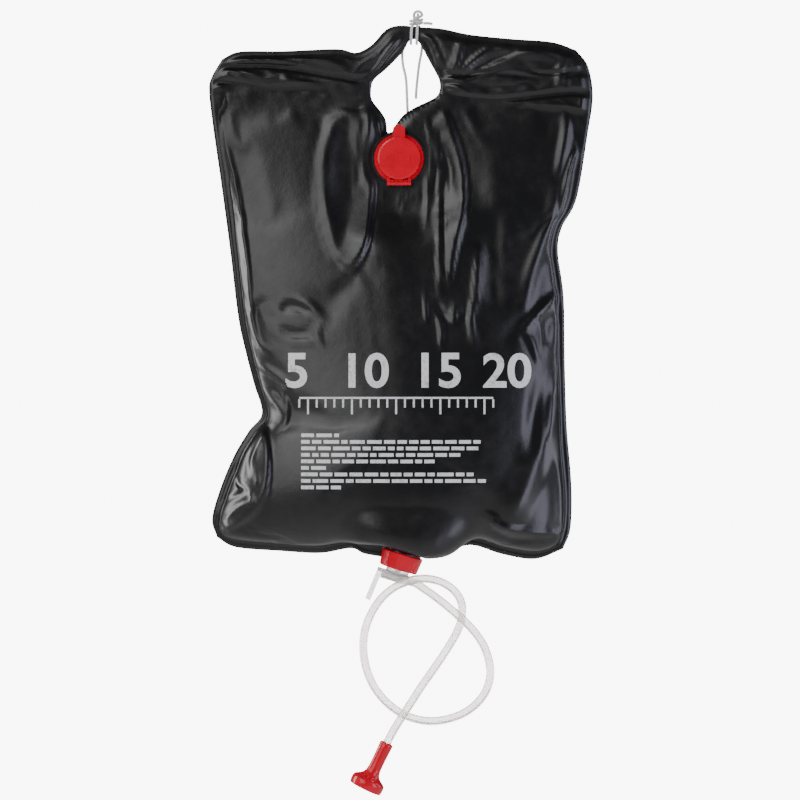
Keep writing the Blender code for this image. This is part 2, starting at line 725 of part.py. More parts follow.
def make_cap(hinge, red):
    """The flip cap, built in the frame of its hinge: a domed lid with a skirt, a tab and knuckles."""
    foot = touch_gap + filler_flange_thickness + cap_foot_gap - hinge_rise
    under = filler_neck_height + 2 * touch_gap + seal_thickness - hinge_rise
    top = under + cap_top_thickness
    inner = filler_neck_radius + cap_gap
    cap = turned(
        "filler_cap",
        (
            (0.0, top + cap_dome), (cap_radius / 2, top + cap_dome * cap_dome_share),
            (cap_radius - 2 * cap_edge_round, top),
            (cap_radius - cap_edge_round / 3, top - cap_edge_round / 2),
            (cap_radius, top - cap_edge_round), (cap_radius, foot), (inner, foot), (inner, under), (0.0, under),
        ),
        turn_steps, red, hinge,
    )
    cap.location = (0.0, hinge_drop, 0.0)
    tab = thumb_tab(cap, top - cap_edge_round - tab_thickness / 2)
    joined(cap, tab)
    for side in (-1, 1):
        joined(cap, cap_arrow(cap, side, top))
    low_x = (-hinge_width / 2, -hinge_ear_offset + hinge_ear_width / 2 + hinge_slot_gap,
             hinge_ear_offset + hinge_ear_width / 2 + hinge_slot_gap)
    high_x = (-hinge_ear_offset - hinge_ear_width / 2 - hinge_slot_gap,
              hinge_ear_offset - hinge_ear_width / 2 - hinge_slot_gap, hinge_width / 2)
    for place_number, (low, high) in enumerate(zip(low_x, high_x)):
        rim = math.sqrt(cap_radius**2 - max(abs(low), abs(high))**2)
        outline = knuckle_outline((cap_radius - inner) / 2 - rim)
        joined(cap, extruded(f"knuckle_{place_number}", outline, low, high, cap, across=True))
    drill = rod(
        "knuckle_drill", pin_radius + running_gap, (-hinge_width, -hinge_drop, 0.0),
        (hinge_width, -hinge_drop, 0.0), small_steps, cap,
    )
    cut(cap, drill)
    return cap


def knuckle_outline(reach):
    """A hinge knuckle seen from its end: most of a circle round the pin, with a web running to the cap."""
    start = math.asin(web_height_share)
    sweep = 2 * (math.pi - start)
    arc = []
    for step in range(small_steps):
        angle = start + sweep * step / (small_steps - 1)
        back, up = math.cos(angle), math.sin(angle)
        arc.append((hinge_barrel_radius * back - hinge_drop, hinge_barrel_radius * up))
    web = web_height_share * hinge_barrel_radius
    return arc + [(reach, -web), (reach, web)]


def thumb_tab(cap, middle):
    """A flat tab with a round end, standing out of the cap's rim opposite its hinge."""
    half = tab_width / 2
    root = cap_radius - 2 * cap_edge_round
    end = cap_radius + tab_length - half
    steps = small_steps // 2
    arc = []
    for k in range(steps + 1):
        turn = math.pi * k / steps
        arc.append((half * math.cos(turn), end + half * math.sin(turn) * tab_round_share))
    outline = [(half, root)] + arc + [(-half, root)]
    return extruded("tab_form", outline, middle - tab_thickness / 2, middle + tab_thickness / 2, cap)


def cap_arrow(cap, side, top):
    """One of two low triangles on the cap's face."""
    middle = side * cap_radius * arrow_place_share
    outline = [(middle + arrow_size * across, arrow_size * up) for across, up in arrow_shares]
    face = top + cap_dome + arrow_height
    return extruded(f"arrow_{side}", outline, top - cap_top_thickness / 2, face, cap)


def extruded(name, outline, low, high, parent, across=False):
    """A flat outline drawn from low to high: along Z, or along X when it lies across in Y and Z."""
    mesh = bpy.data.meshes.new(name)
    form = bmesh.new()
    face = form.faces.new([form.verts.new((x, y, low)) for x, y in outline])
    grown = bmesh.ops.extrude_face_region(form, geom=[face])
    moved = [item for item in grown["geom"] if isinstance(item, bmesh.types.BMVert)]
    bmesh.ops.translate(form, verts=moved, vec=(0.0, 0.0, high - low))
    if across:
        for vert in form.verts:
            vert.co = vert.co.zxy
    bmesh.ops.recalc_face_normals(form, faces=form.faces)
    form.to_mesh(mesh)
    form.free()
    return place(name, mesh, None, parent, cutter=True)


def make_outlet(front, pvc, red, white, rubber):
    """The outlet: the neck welded under the bag, its gasket, the screw collar and the tap."""
    seat = frame_at("outlet_frame", outlet_seat, (0.0, outlet_tilt, 0.0))
    cut(front, rod("outlet_bore", outlet_bore_radius, (0, 0, -cut_overrun), (0, 0, cut_overrun),
                   turn_steps, seat))
    neck_end = -touch_gap - outlet_neck_length
    flange_low = -touch_gap - outlet_flange_thickness
    turned(
        "outlet_neck",
        (
            (outlet_bore_radius, -touch_gap), (outlet_flange_radius, -touch_gap),
            (outlet_flange_radius, flange_low), (outlet_neck_radius, flange_low),
            (outlet_neck_radius, neck_end), (outlet_bore_radius, neck_end),
        ),
        turn_steps, pvc, seat, ring=True,
    )
    gasket_top = neck_end - touch_gap
    gasket_low = gasket_top - gasket_thickness
    turned(
        "outlet_gasket",
        (
            (outlet_bore_radius, gasket_top), (outlet_neck_radius, gasket_top),
            (outlet_neck_radius, gasket_low), (outlet_bore_radius, gasket_low),
        ),
        turn_steps, rubber, seat, ring=True,
    )
    tap_top = gasket_low - touch_gap
    make_collar(seat, flange_low, tap_top - tap_flange_thickness - touch_gap, red)
    make_tap(seat, tap_top, white, rubber)


def make_collar(seat, flange_low, lip_top, red):
    """The screw collar: a tapered ring whose lower lip holds the tap's flange up against the gasket."""
    top = flange_low - collar_top_gap
    foot = lip_top - collar_lip
    inside = outlet_neck_radius + cap_gap
    lip_radius = boss_radius + cap_gap
    turned(
        "collar_nut",
        (
            (inside, top), (collar_top_radius - collar_round, top),
            (collar_top_radius, top - collar_round), (collar_bottom_radius, foot + collar_round),
            (collar_bottom_radius - collar_round, foot), (lip_radius, foot), (lip_radius, lip_top),
            (inside, lip_top),
        ),
        turn_steps + 8, red, seat, ring=True,
    )


def make_tap(seat, tap_top, white, rubber):
    """The tap: a flange and boss over a barrel with its hose spigot, and the plug with its lever."""
    flange_low = tap_top - tap_flange_thickness
    boss_low = -barrel_drop + barrel_radius / 2
    neck_radius = boss_radius * boss_throat_share
    tap = turned(
        "tap_body",
        (
            (waterway_radius, tap_top), (outlet_neck_radius, tap_top), (outlet_neck_radius, flange_low),
            (boss_radius, flange_low), (boss_radius, -barrel_drop + barrel_radius),
            (neck_radius, boss_low), (waterway_radius, boss_low),
        ),
        turn_steps, white, seat, ring=True,
    )
    barrel = rod("barrel_form", barrel_radius, (-barrel_left, 0, -barrel_drop),
                 (barrel_right, 0, -barrel_drop), turn_steps, seat)
    joined(tap, barrel)
    plug_end = plug_right + touch_gap
    cut(tap, rod("barrel_bore", barrel_bore_radius, (-barrel_left - cut_overrun, 0, -barrel_drop),
                 (plug_end, 0, -barrel_drop), turn_steps, seat))
    cut(tap, rod("spigot_bore", waterway_radius, (0, 0, -barrel_drop),
                 (barrel_right + cut_overrun, 0, -barrel_drop), small_steps, seat))
    cut(tap, rod("tap_waterway", waterway_radius, (0, 0, -barrel_drop), (0, 0, tap_top + cut_overrun),
                 small_steps, seat))
    turn = frame_at("tap_turn", (0.0, 0.0, -barrel_drop), parent=seat)
    make_lever(turn, white, rubber)


def make_lever(turn, white, rubber):
    """The plug, hollow on the hose's side and ported on top, with its boss and lever, along local X."""
    plug_radius = barrel_bore_radius - running_gap
    groove = seal_wire_radius + running_gap
    boss_start = -barrel_left - touch_gap
    boss_end = boss_start - lever_boss_width
    outline = [(0.0, plug_right)]
    outline.append((plug_radius, plug_right))
    for middle in sorted(seal_places, reverse=True):
        outline += [
            (plug_radius, middle + groove), (seal_groove_radius, middle + groove),
            (seal_groove_radius, middle - groove), (plug_radius, middle - groove),
        ]
    outline += [
        (plug_radius, boss_start), (lever_boss_radius, boss_start), (lever_boss_radius, boss_end),
        (0.0, boss_end),
    ]
    lever = turned("tap_lever", outline, small_steps, white, turn)
    lever.rotation_euler = (0.0, math.pi / 2, 0.0)
    drill = rod("plug_bore", plug_bore_radius, (0, 0, -plug_bore_radius), (0, 0, plug_right + cut_overrun),
                small_steps, lever)
    cut(lever, drill)
    port = rod("plug_port", plug_bore_radius, (0, 0, 0), (-cut_overrun, 0, 0), small_steps, lever)
    cut(lever, port)
    joined(lever, lever_arm(lever, (boss_start + boss_end) / 2))
    for number, middle in enumerate(seal_places):
        ring_radius = seal_groove_radius + running_gap + seal_wire_radius
        wire = [
            (ring_radius + seal_wire_radius * math.sin(2 * math.pi * k / 6),
             seal_wire_radius * math.cos(2 * math.pi * k / 6)) for k in range(6)
        ]
        seal = turned(f"plug_seal_{number + 1}", wire, small_steps, rubber, turn, ring=True)
        seal.rotation_euler = (0.0, math.pi / 2, 0.0)
        seal.location = (middle, 0.0, 0.0)


def lever_arm(lever, middle):
    """The lever: a flat bar with a round end, hanging from the plug's boss and splayed outward."""
    half = lever_width / 2
    steps = small_steps // 2
    straight = lever_length - half
    arc = [(straight + half * math.sin(math.pi * k / steps), half * math.cos(math.pi * k / steps))
           for k in range(steps + 1)]
    root = half * lever_root_share
    outline = [(0.0, root)] + arc + [(0.0, -root)]
    arm = extruded("lever_arm", outline, -lever_thickness / 2, lever_thickness / 2, lever)
    arm.location = (0.0, 0.0, middle)
    arm.rotation_euler = (0.0, lever_splay, 0.0)
    return arm


def make_hose(clear):
    """The hose, straight out of the tap's spigot and then along its route to the head's neck."""
    axis = Vector((math.cos(outlet_tilt), 0.0, -math.sin(outlet_tilt)))
    below = Vector((-math.sin(outlet_tilt), 0.0, -math.cos(outlet_tilt)))
    spigot_end = outlet_seat + axis * (barrel_right + touch_gap) + below * barrel_drop
    route = [spigot_end, spigot_end + axis * hose_diameter * hose_lead_share]
    route += [outlet_place + Vector((across, forward, -down)) for across, forward, down in hose_route]
    steps = 8
    line = smooth_line(route, steps)
    points = [line[0], *spaced(line[steps:], np.linspace(0.0, 1.0, hose_points))]
    tube("hose", points, hose_diameter, clear)
    return Vector(points[-1])


def make_head(end, red):
    """The shower head: a neck that flares into a rose, and the perforated face plate in it."""
    down = Vector((-math.sin(head_tilt), 0.0, -math.cos(head_tilt)))
    head = frame_at("head_frame", end + down * touch_gap, (0.0, head_tilt, 0.0))
    flare_end = head_rose_depth - head_length
    face = -head_length
    seat = face + rose_thickness + touch_gap
    inside = head_rose_radius - head_wall
    round_edge = head_wall / 2
    body = (
        (waterway_radius, 0.0), (head_neck_radius - round_edge, 0.0), (head_neck_radius, -round_edge),
        *((head_neck_radius * wide, -head_neck_length * down) for wide, down in head_neck_shares),
        (head_rose_radius * head_flare_shares[0], flare_end * head_flare_shares[1]),
        (head_rose_radius - round_edge, flare_end), (head_rose_radius, flare_end - round_edge),
        (head_rose_radius, face + round_edge), (head_rose_radius - round_edge, face), (inside, face),
        (inside, seat + head_chamber_depth), (waterway_radius, seat + head_chamber_depth),
    )
    turned("head_body", body, turn_steps, red, head, ring=True)
    plate_radius = inside - touch_gap
    plate = turned(
        "head_rose",
        (
            (0.0, face + rose_thickness), (plate_radius, face + rose_thickness), (plate_radius, face),
            (0.0, face - head_wall / 4),
        ),
        turn_steps, red, head,
    )
    cut(plate, rose_jets(head, face))


def rose_jets(head, face):
    """The drills for the face plate's water jets, in rings, as one cutter."""
    mesh = bpy.data.meshes.new("rose_jets")
    drills = bmesh.new()
    for ring_radius, count in zip(rose_ring_radii, rose_ring_counts):
        for k in range(count):
            turn = 2 * math.pi * k / count
            at = (ring_radius * math.cos(turn), ring_radius * math.sin(turn), face)
            bmesh.ops.create_cone(
                drills, cap_ends=True, segments=6, radius1=rose_hole_radius, radius2=rose_hole_radius,
                depth=2 * cut_overrun, matrix=Matrix.Translation(at),
            )
    drills.to_mesh(mesh)
    drills.free()
    return place("rose_jets", mesh, None, head, cutter=True)


def cord_eye(name, reach, top, plane, white):
    """An eye of the hanging loop: a drop shape over two legs that stand in the knot."""
    leg = knot_bundle_radius
    foot = -knot_drop - knot_rise / 2
    mouth = -knot_drop + knot_rise / 2 + cord_diameter / 2
    middle = top - cord_diameter / 2 - reach
    shape = [(-leg, foot), (-leg, mouth), (-(leg + reach) / 2, (middle + mouth) / 2)]
    shape += [
        (-reach * math.cos(math.pi * k / 8), middle + reach * math.sin(math.pi * k / 8)) for k in range(9)
    ]
    shape += [(-side, height) for side, height in shape[2::-1]]
    points = []
    for side, height in shape:
        lean = knot_offset * min(max(middle - height, 0.0) / (middle - mouth), 1.0)
        points.append((side * math.cos(plane) + lean, side * math.sin(plane), height))
    line = smooth_line(points, 4)
    return tube(name, spaced(line, np.linspace(0.0, 1.0, 24)), cord_diameter, white)


def make_cord(white):
    """The cord: two nested eyes in the knot, two strands round the strip, two tails and a short end."""
    cord_eye("cord_loop_outer", loop_half_width, 0.0, 0.0, white)
    inner_top = -cord_diameter - touch_gap
    cord_eye("cord_loop_inner", loop_half_width * inner_loop_share, inner_top, math.pi / 2, white)
    wrap = []
    for share in np.linspace(0.0, 1.0, 30):
        turn = 2 * math.pi * knot_turns * share
        height = -knot_drop + knot_rise * (1 - 2 * share) / 2
        wrap.append((knot_offset + knot_radius * math.cos(turn), knot_radius * math.sin(turn), height))
    tube("cord_knot", wrap, cord_diameter, white)
    strip_low = hole_top - touch_gap - cord_diameter / 2
    face = touch_gap / 2 + sheet_thickness + touch_gap + cord_diameter / 2
    under_knot = -knot_drop - knot_rise / 2 - cord_diameter / 2 - knot_strand_gap
    for name, side in (("cord_strand_left", -1), ("cord_strand_right", 1)):
        x_top = strand_middle + side * strand_spread_top
        x_low = strand_middle + side * strand_spread_low
        way = [(x_top, -face, under_knot), (x_low, -face, strip_low + face / 2)]
        for k in range(9):
            turn = math.pi * k / 8
            height = strip_low + face * (strand_rise_share - math.sin(turn))
            way.append((x_low, -face * math.cos(turn), height))
        way += [(x_low, face, strip_low + face / 2), (x_top, face, under_knot)]
        tube(name, way, cord_diameter, white)
    behind = (("cord_tail_long", long_tail_route), ("cord_tail_short", short_tail_route))
    for name, route in behind:
        line = smooth_line(route, 4)
        tube(name, spaced(line, np.linspace(0.0, 1.0, 18)), cord_diameter, white)
    start = knot_offset + knot_radius + cord_diameter / 2 + touch_gap
    end_height = -knot_drop - knot_rise * knot_end_share
    bend = short_end_length / 6
    short_end = [
        (start, 0.0, end_height), (start + bend, 0.0, end_height),
        (start + short_end_length / 2, 0.0, end_height),
        (start + short_end_length, 0.0, end_height - bend / 3),
    ]
    tube("cord_short_end", short_end, cord_diameter, white)


def main():
    clear_scene()
    pvc = finish("black_pvc", (0.012, 0.012, 0.014), 0.28, coat=0.3)
    red = finish("red_plastic", (0.62, 0.012, 0.016), 0.3, coat=0.2)
    white = finish("white_plastic", (0.78, 0.78, 0.76), 0.35)
    clear = finish("clear_vinyl", (0.82, 0.80, 0.79), 0.12, alpha=0.35)
    rubber = finish("seal_rubber", (0.03, 0.03, 0.03), 0.7)
    steel = finish("hinge_steel", (0.6, 0.6, 0.62), 0.3, metallic=1.0)
    cord = finish("white_cord", (0.80, 0.80, 0.78), 0.8)
    front = sheet("front_panel", front_depth, -1, front_fold_shares, pvc)
    back = sheet("back_panel", back_depth, 1, back_fold_shares, pvc)
    make_filler(front, red, pvc, rubber, steel)
    make_outlet(front, pvc, red, white, rubber)
    cut_hand_hole(front, back)
    make_head(make_hose(clear), red)
    make_cord(cord)


main()
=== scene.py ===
# %% [markdown]
# # A camp shower bag
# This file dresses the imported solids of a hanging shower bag: a black PVC bag full of water, a red filler,
# a red collar with a white tap, a clear hose with its shower head, and the white cord that carries it all.
# Each step first says what the piece is and why it's made as it is. Sizes are in metres, +Z is up, and the
# bag's front faces -Y. The origin is the top of the hanging loop.

# %% Load the frame
import math

import bmesh
import bpy
import numpy as np
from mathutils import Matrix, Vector
from mathutils.bvhtree import BVHTree


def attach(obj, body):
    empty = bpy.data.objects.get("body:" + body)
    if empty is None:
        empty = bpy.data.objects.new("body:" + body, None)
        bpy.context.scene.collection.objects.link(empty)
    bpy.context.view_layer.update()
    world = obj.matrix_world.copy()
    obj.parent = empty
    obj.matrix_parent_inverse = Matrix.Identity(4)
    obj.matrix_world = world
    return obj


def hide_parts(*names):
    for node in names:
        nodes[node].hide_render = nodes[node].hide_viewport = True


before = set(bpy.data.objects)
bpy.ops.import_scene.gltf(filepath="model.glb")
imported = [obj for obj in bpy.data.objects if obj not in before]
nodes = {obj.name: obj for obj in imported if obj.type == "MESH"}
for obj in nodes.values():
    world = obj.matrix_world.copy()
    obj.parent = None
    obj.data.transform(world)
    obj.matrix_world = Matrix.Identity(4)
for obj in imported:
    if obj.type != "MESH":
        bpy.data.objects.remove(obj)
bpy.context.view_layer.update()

print("frame holds", len(nodes), "solids")

# %% [markdown]
# The photograph looks straight at the bag's front. A long lens far away keeps the bag's outline close to
# its true one, so the camera stands 4 m off and sees a square of 0.917 m at the bag's middle plane.

# %% Camera
view_width = 0.9168
camera_away = 4.0
camera_x, camera_z = -0.0206, -0.4470


def new_object(name, data):
    """An object that holds this mesh, lens, light or text, put into the scene."""
    made = bpy.data.objects.new(name, data)
    bpy.context.scene.collection.objects.link(made)
    return made


lens = bpy.data.cameras.new("photo_lens")
lens.sensor_width = 36.0
lens.lens = lens.sensor_width * camera_away / view_width
camera = new_object("photo_camera", lens)
camera.location = (camera_x, -camera_away, camera_z)
camera.rotation_euler = (math.pi / 2, 0.0, 0.0)
bpy.context.scene.camera = camera
print("camera", tuple(camera.location), "lens mm", round(lens.lens, 1))

# %% [markdown]
# Hoses, cords and outlines are all drawn as a few points, and a Catmull-Rom curve runs through
# them. It is the simplest curve that passes through its points, so a maker can move one and see what it
# does. Spacing the points evenly along it afterwards keeps the tubes even. Tables of points are written in
# thousandths, because millimetres are easier to read than metres.

# %% Curves through points
def thousandths(table):
    """A table written in thousandths, such as millimetres, as plain numbers, such as metres."""
    return np.array(table, float) / 1000


def smooth_line(points, per_span=8, cyclic=False):
    """Points of a Catmull-Rom curve through the points given."""
    points = [np.array(p, float) for p in points]
    count = len(points)
    line = []
    for i in range(count if cyclic else count - 1):
        b, c = points[i], points[(i + 1) % count]
        a = points[i - 1] if cyclic or i > 0 else 2 * b - c
        d = points[(i + 2) % count] if cyclic or i + 2 < count else 2 * c - b
        for u in np.arange(per_span) / per_span:
            line.append(b + (c - a) * u / 2 + (2 * a - 5 * b + 4 * c - d) * u**2 / 2
                        + (3 * b - a - 3 * c + d) * u**3 / 2)
    if not cyclic:
        line.append(points[-1])
    return np.array(line)


def lengths_along(line):
    """How far along a line each of its points is."""
    steps = np.linalg.norm(np.diff(line, axis=0), axis=1)
    return np.concatenate([[0.0], np.cumsum(steps)])


def line_length(line):
    """The length of a line of points."""
    return float(lengths_along(line)[-1])


def spaced(line, shares):
    """Points at these shares of a line's length."""
    along = lengths_along(line)
    wanted = np.asarray(shares) * along[-1]
    return np.stack([np.interp(wanted, along, line[:, k]) for k in range(line.shape[1])], axis=-1)


def eased(value, low, high):
    """0 below low, 1 above high, and a smooth step between."""
    u = np.clip((np.asarray(value, float) - low) / (high - low), 0.0, 1.0)
    return u * u * (3 - 2 * u)


print("three points make a curve of", len(smooth_line(((0, 0), (1, 0), (1, 1)))))

# %% [markdown]
# Every piece made here ends up as a mesh: points, and faces that name them by number. A closed skin's faces
# should all look outwards, or light falls on it wrongly, so one helper turns them round where needed.

# %% Meshes from points and faces
def mesh_piece(name, points, faces):
    """A smooth mesh object from points and faces."""
    mesh = bpy.data.meshes.new(name)
    mesh.from_pydata([tuple(p) for p in points], [], [tuple(f) for f in faces])
    mesh.update()
    mesh.shade_smooth()
    return new_object(name, mesh)


def face_outwards(mesh):
    """Turn all the faces of a closed mesh outwards."""
    skin = bmesh.new()
    skin.from_mesh(mesh)
    bmesh.ops.recalc_face_normals(skin, faces=skin.faces)
    skin.to_mesh(mesh)
    skin.free()


print("helpers for meshes ready")

# %% [markdown]
# A tube is swept by carrying a ring along the line without twisting it: each ring's sideways direction is
# the last one's, leaned into the new plane. The tube keeps two numbers at each point, how far along and how
# far round it is, and a finish can draw a braid or moulding marks from them.

# %% Sweep a tube
def ring_frames(line):
    """Two sideways directions at each point of a line, carried along it without twisting."""
    steps = np.gradient(line, axis=0)
    steps /= np.linalg.norm(steps, axis=1)[:, None]
    start = np.cross(steps[0], (0.0, 0.0, 1.0))
    if np.linalg.norm(start) < 0.1:
        start = np.cross(steps[0], (0.0, 1.0, 0.0))
    sides = [start / np.linalg.norm(start)]
    for step in steps[1:]:
        side = sides[-1] - step * np.dot(sides[-1], step)
        sides.append(side / np.linalg.norm(side))
    sides = np.array(sides)
    return sides, np.cross(steps, sides)


end_angles = np.array([math.radians(a) for a in (30, 60, 85)])
end_bulge = 0.25


def sweep(name, line, radius, sides=24, bore=None):
    """A tube along a line, with slightly domed ends, or with an open bore through it."""
    right, up = ring_frames(line)
    turn = np.linspace(0.0, 2 * math.pi, sides, endpoint=False)
    along = lengths_along(line)
    every = np.arange(len(line))

    def skin(radii, where):
        out = np.cos(turn)[None, :, None] * right[where, None] + np.sin(turn)[None, :, None] * up[where, None]
        return line[where, None] + out * radii[:, None, None], np.repeat(along[where, None], sides, axis=1)

    layers = [skin(np.full(len(line), radius), every)]
    if bore is not None:
        layers.append(skin(np.full(len(line), bore), every[::-1]))
    else:
        for end, beside in ((0, 1), (-1, -2)):
            outward = line[end] - line[beside]
            outward /= np.linalg.norm(outward)
            rings, marks = skin(radius * np.cos(end_angles), np.full(len(end_angles), every[end]))
            rings = rings + (outward * end_bulge * radius) * np.sin(end_angles)[:, None, None]
            if end == 0:
                layers.insert(0, (rings[::-1], marks[::-1]))
            else:
                layers.append((rings, marks))
    rings, marks = (np.concatenate(part) for part in zip(*layers))
    count = len(rings)
    faces = []
    for i in range(count if bore is not None else count - 1):
        for j in range(sides):
            k, n = (j + 1) % sides, (i + 1) % count
            faces.append((i * sides + j, i * sides + k, n * sides + k, n * sides + j))
    if bore is None:
        faces.append(tuple(range(sides))[::-1])
        faces.append(tuple((count - 1) * sides + j for j in range(sides)))
    piece = mesh_piece(name, rings.reshape(-1, 3), faces)
    for mark, values in (("along", marks.reshape(-1)), ("around", np.tile(turn, count))):
        piece.data.attributes.new(mark, "FLOAT", "POINT").data.foreach_set("value", values)
    face_outwards(piece.data)
    return piece


print("tube ends have", len(end_angles), "rings each")

# %% [markdown]
# The hose is soft clear vinyl. It leaves the tap's spigot, goes out to the right, round a big loop and
# back over itself, and the shower head's weight pulls its end down. The points are those of the solid
# hose: across, towards the back and down from the outlet. It is a real tube with a bore, because a solid
# rod of clear plastic acts as a lens and looks like glass.

# %% The hose
outlet_place = np.array([-0.01686, -0.0270, -0.61987])
outlet_tilt = math.radians(17)
outlet_across = np.array([math.cos(outlet_tilt), 0.0, -math.sin(outlet_tilt)])
outlet_down = np.array([-math.sin(outlet_tilt), 0.0, -math.cos(outlet_tilt)])
hose_diameter, hose_bore = 0.0095, 0.0064
spigot_reach, spigot_drop, straight_start = 0.0163, 0.0300, 0.7
spigot_end = outlet_place + outlet_across * spigot_reach + outlet_down * spigot_drop
route_start = outlet_place + np.array([0.0, 0.0, 0.00067])
hose_route = thousandths((
    (23, 1, 42.5), (38.5, -0.5, 53.5), (53, -3.5, 65), (67, -6, 77), (80, -5, 90.5), (90.5, -2.5, 105.5),
    (97, 0, 123), (99, 2, 141), (94.5, 3.5, 159), (83.5, 4.5, 174), (68.5, 5.5, 185), (51, 6, 191.5),
    (32.5, 6, 194), (14, 6, 191.5), (-3, 5.5, 184.5), (-18, 4.5, 173.5), (-30.5, 3.5, 159), (-39, 1.5, 143),
    (-44, -0.5, 125), (-45.5, -2.5, 106.5), (-43, -5, 88), (-36.5, -7, 71), (-26.5, -9.5, 55),
    (-13, -11, 42.5), (3.5, -12, 34), (21.5, -11.5, 30.5), (40, -9, 33.5), (55.5, -4, 42.5),
    (65.5, 1.5, 56.5), (67, 6, 74.5), (61.5, 6.5, 92), (52, 4, 108.5), (42, 0.5, 123.5),
    (31.5, -2.5, 138.5), (20.5, -4.5, 154), (10.5, -5.5, 169.5), (0.5, -6, 185), (-9.5, -6, 201),
    (-18.5, -6, 217.5),
))
curve_steps, hose_rings = 8, 150
route = [spigot_end, spigot_end + outlet_across * hose_diameter * straight_start]
route += [route_start + np.array((a, f, -d)) for a, f, d in hose_route]
hose_line = smooth_line(route, curve_steps)
hose_line = np.vstack([spigot_end, spaced(hose_line[curve_steps:], np.linspace(0.0, 1.0, hose_rings))])
hose = sweep("clear_hose", hose_line, hose_diameter / 2, sides=28, bore=hose_bore / 2)
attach(hose, "bag")
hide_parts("hose")
print("hose", round(line_length(hose_line), 3), "m")

# %% [markdown]
# The hose's end pushes into the shower head. Its slim neck opens late and fast into a wide, thin rose with
# a rounded rim. The head is round, so its outline is drawn once, as pairs of a radius and a depth below
# the neck's top, and turned about its axis. Many steps keep the shine smooth; only true edges stay sharp.

# %% The shower head
head_tilt, head_gap = math.radians(26), 0.0003
head_down = np.array([-math.sin(head_tilt), 0.0, -math.cos(head_tilt)])
head_across = np.array([math.cos(head_tilt), 0.0, -math.sin(head_tilt)])
head_outline = thousandths((
    (2.6, 0), (6.8, 0), (7.5, 0.4), (7.8, 1.1), (7.7, 6), (7.4, 15), (7.4, 25), (7.6, 32), (8.3, 36.5),
    (9.8, 39.6), (12.2, 42), (15, 43.7), (17.2, 45), (18.6, 46.4), (19.3, 48.3), (19.5, 50.5), (19.4, 53.5),
    (19, 55.8), (18.2, 57), (17.1, 57), (17.1, 51.7), (2.6, 51.7),
))


def turned(name, outline, top, down, across, steps=72, sharp=math.radians(42)):
    """A closed outline of (radius, depth) pairs turned about the line that runs down from top."""
    around = np.cross(down, across)
    points = [top + down * depth + (across * math.cos(a) + around * math.sin(a)) * radius
              for a in np.arange(steps) * 2 * math.pi / steps for radius, depth in outline]
    count, total = len(outline), len(outline) * steps
    faces = [((i * count + j) % total, (i * count + (j + 1) % count) % total,
              ((i + 1) * count + (j + 1) % count) % total, ((i + 1) * count + j) % total)
             for i in range(steps) for j in range(count)]
    piece = mesh_piece(name, points, faces)
    face_outwards(piece.data)
    piece.data.set_sharp_from_angle(angle=sharp)
    return piece


head_top = hose_line[-1] + head_down * head_gap
shower_head = turned("shower_head", head_outline, head_top, head_down, head_across)
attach(shower_head, "bag")
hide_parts("head_body")
print("shower head", len(shower_head.data.polygons), "faces")

# %% [markdown]
# A white cord of about 3 mm carries the bag. It goes round the top strip through the hand hole and is
# knotted above it, and a small loop over the knot takes the hook. The loop is two eyes, one inside the
# other, and both have their feet in the knot.

# %% The hanging loop's eyes
cord_diameter, cord_gap = 0.0032, 0.0003
knot_drop, knot_rise = 0.0138, 0.0056
knot_x = -0.0020
eye_reach, eye_leg, inner_share = 0.0046, 0.0023, 0.75
half_turn = np.arange(9) * math.pi / 8
cord_steps, eye_rings, strand_rings, knot_rings = 6, 60, 70, 90


def cord_eye(reach, top, turn):
    """The line of one eye of the hanging loop, turned about the upright."""
    foot = -knot_drop - knot_rise / 2
    mouth = -knot_drop + knot_rise / 2 + cord_diameter / 2
    middle = top - cord_diameter / 2 - reach
    side = [(-eye_leg, foot), (-eye_leg, mouth), (-(eye_leg + reach) / 2, (middle + mouth) / 2)]
    shape = side + [(-reach * math.cos(a), middle + reach * math.sin(a)) for a in half_turn]
    points = []
    for x, z in shape + [(-x, z) for x, z in side[::-1]]:
        lean = knot_x * min(max(middle - z, 0.0) / (middle - mouth), 1.0)
        points.append((x * math.cos(turn) + lean, x * math.sin(turn), z))
    return spaced(smooth_line(points, cord_steps), np.linspace(0.0, 1.0, eye_rings))


cord_lines = {
    "cord_loop_outer": cord_eye(eye_reach, 0.0, 0.0),
    "cord_loop_inner": cord_eye(eye_reach * inner_share, -cord_diameter - cord_gap, math.pi / 2),
}
print("eyes", [round(line_length(line), 3) for line in cord_lines.values()], "m")

# %% [markdown]
# Under the knot two strands go down the strip's front, round its lower edge and up again behind it. They
# are what the bag hangs by, so they lie tight on the film.

# %% The strands round the strip
strip_edge, half_seam, film_thickness = -0.0353, 0.00015, 0.0005
strip_low = strip_edge - cord_gap - cord_diameter / 2
strip_face = half_seam + film_thickness + cord_gap + cord_diameter / 2
strand_middle, strand_apart_top, strand_apart_low = -0.0048, 0.0044, 0.0033
under_knot, shoulder_drop, gathered, tucked, rounded = 0.0004, 0.0022, 0.45, 0.8, 0.4


def strand_line(x_top, x_low):
    """A strand from under the knot down the front, round the strip's lower edge and up behind it."""
    top = -knot_drop - knot_rise / 2 - cord_diameter / 2 - under_knot
    start_x = knot_x + (x_top - knot_x) * gathered
    shoulder_x, shoulder_z = (start_x + x_top) / 2, top - shoulder_drop
    straight_z, round_z = strip_low + strip_face / 2, strip_low + strip_face * rounded
    under = [(x_low, -strip_face * math.cos(a), round_z - strip_face * math.sin(a)) for a in half_turn]
    points = [(start_x, -strip_face * tucked, top), (shoulder_x, -strip_face, shoulder_z),
              (x_low, -strip_face, straight_z), *under, (x_low, strip_face, straight_z),
              (shoulder_x, strip_face, shoulder_z), (start_x, strip_face * tucked, top)]
    return spaced(smooth_line(points, cord_steps), np.linspace(0.0, 1.0, strand_rings))


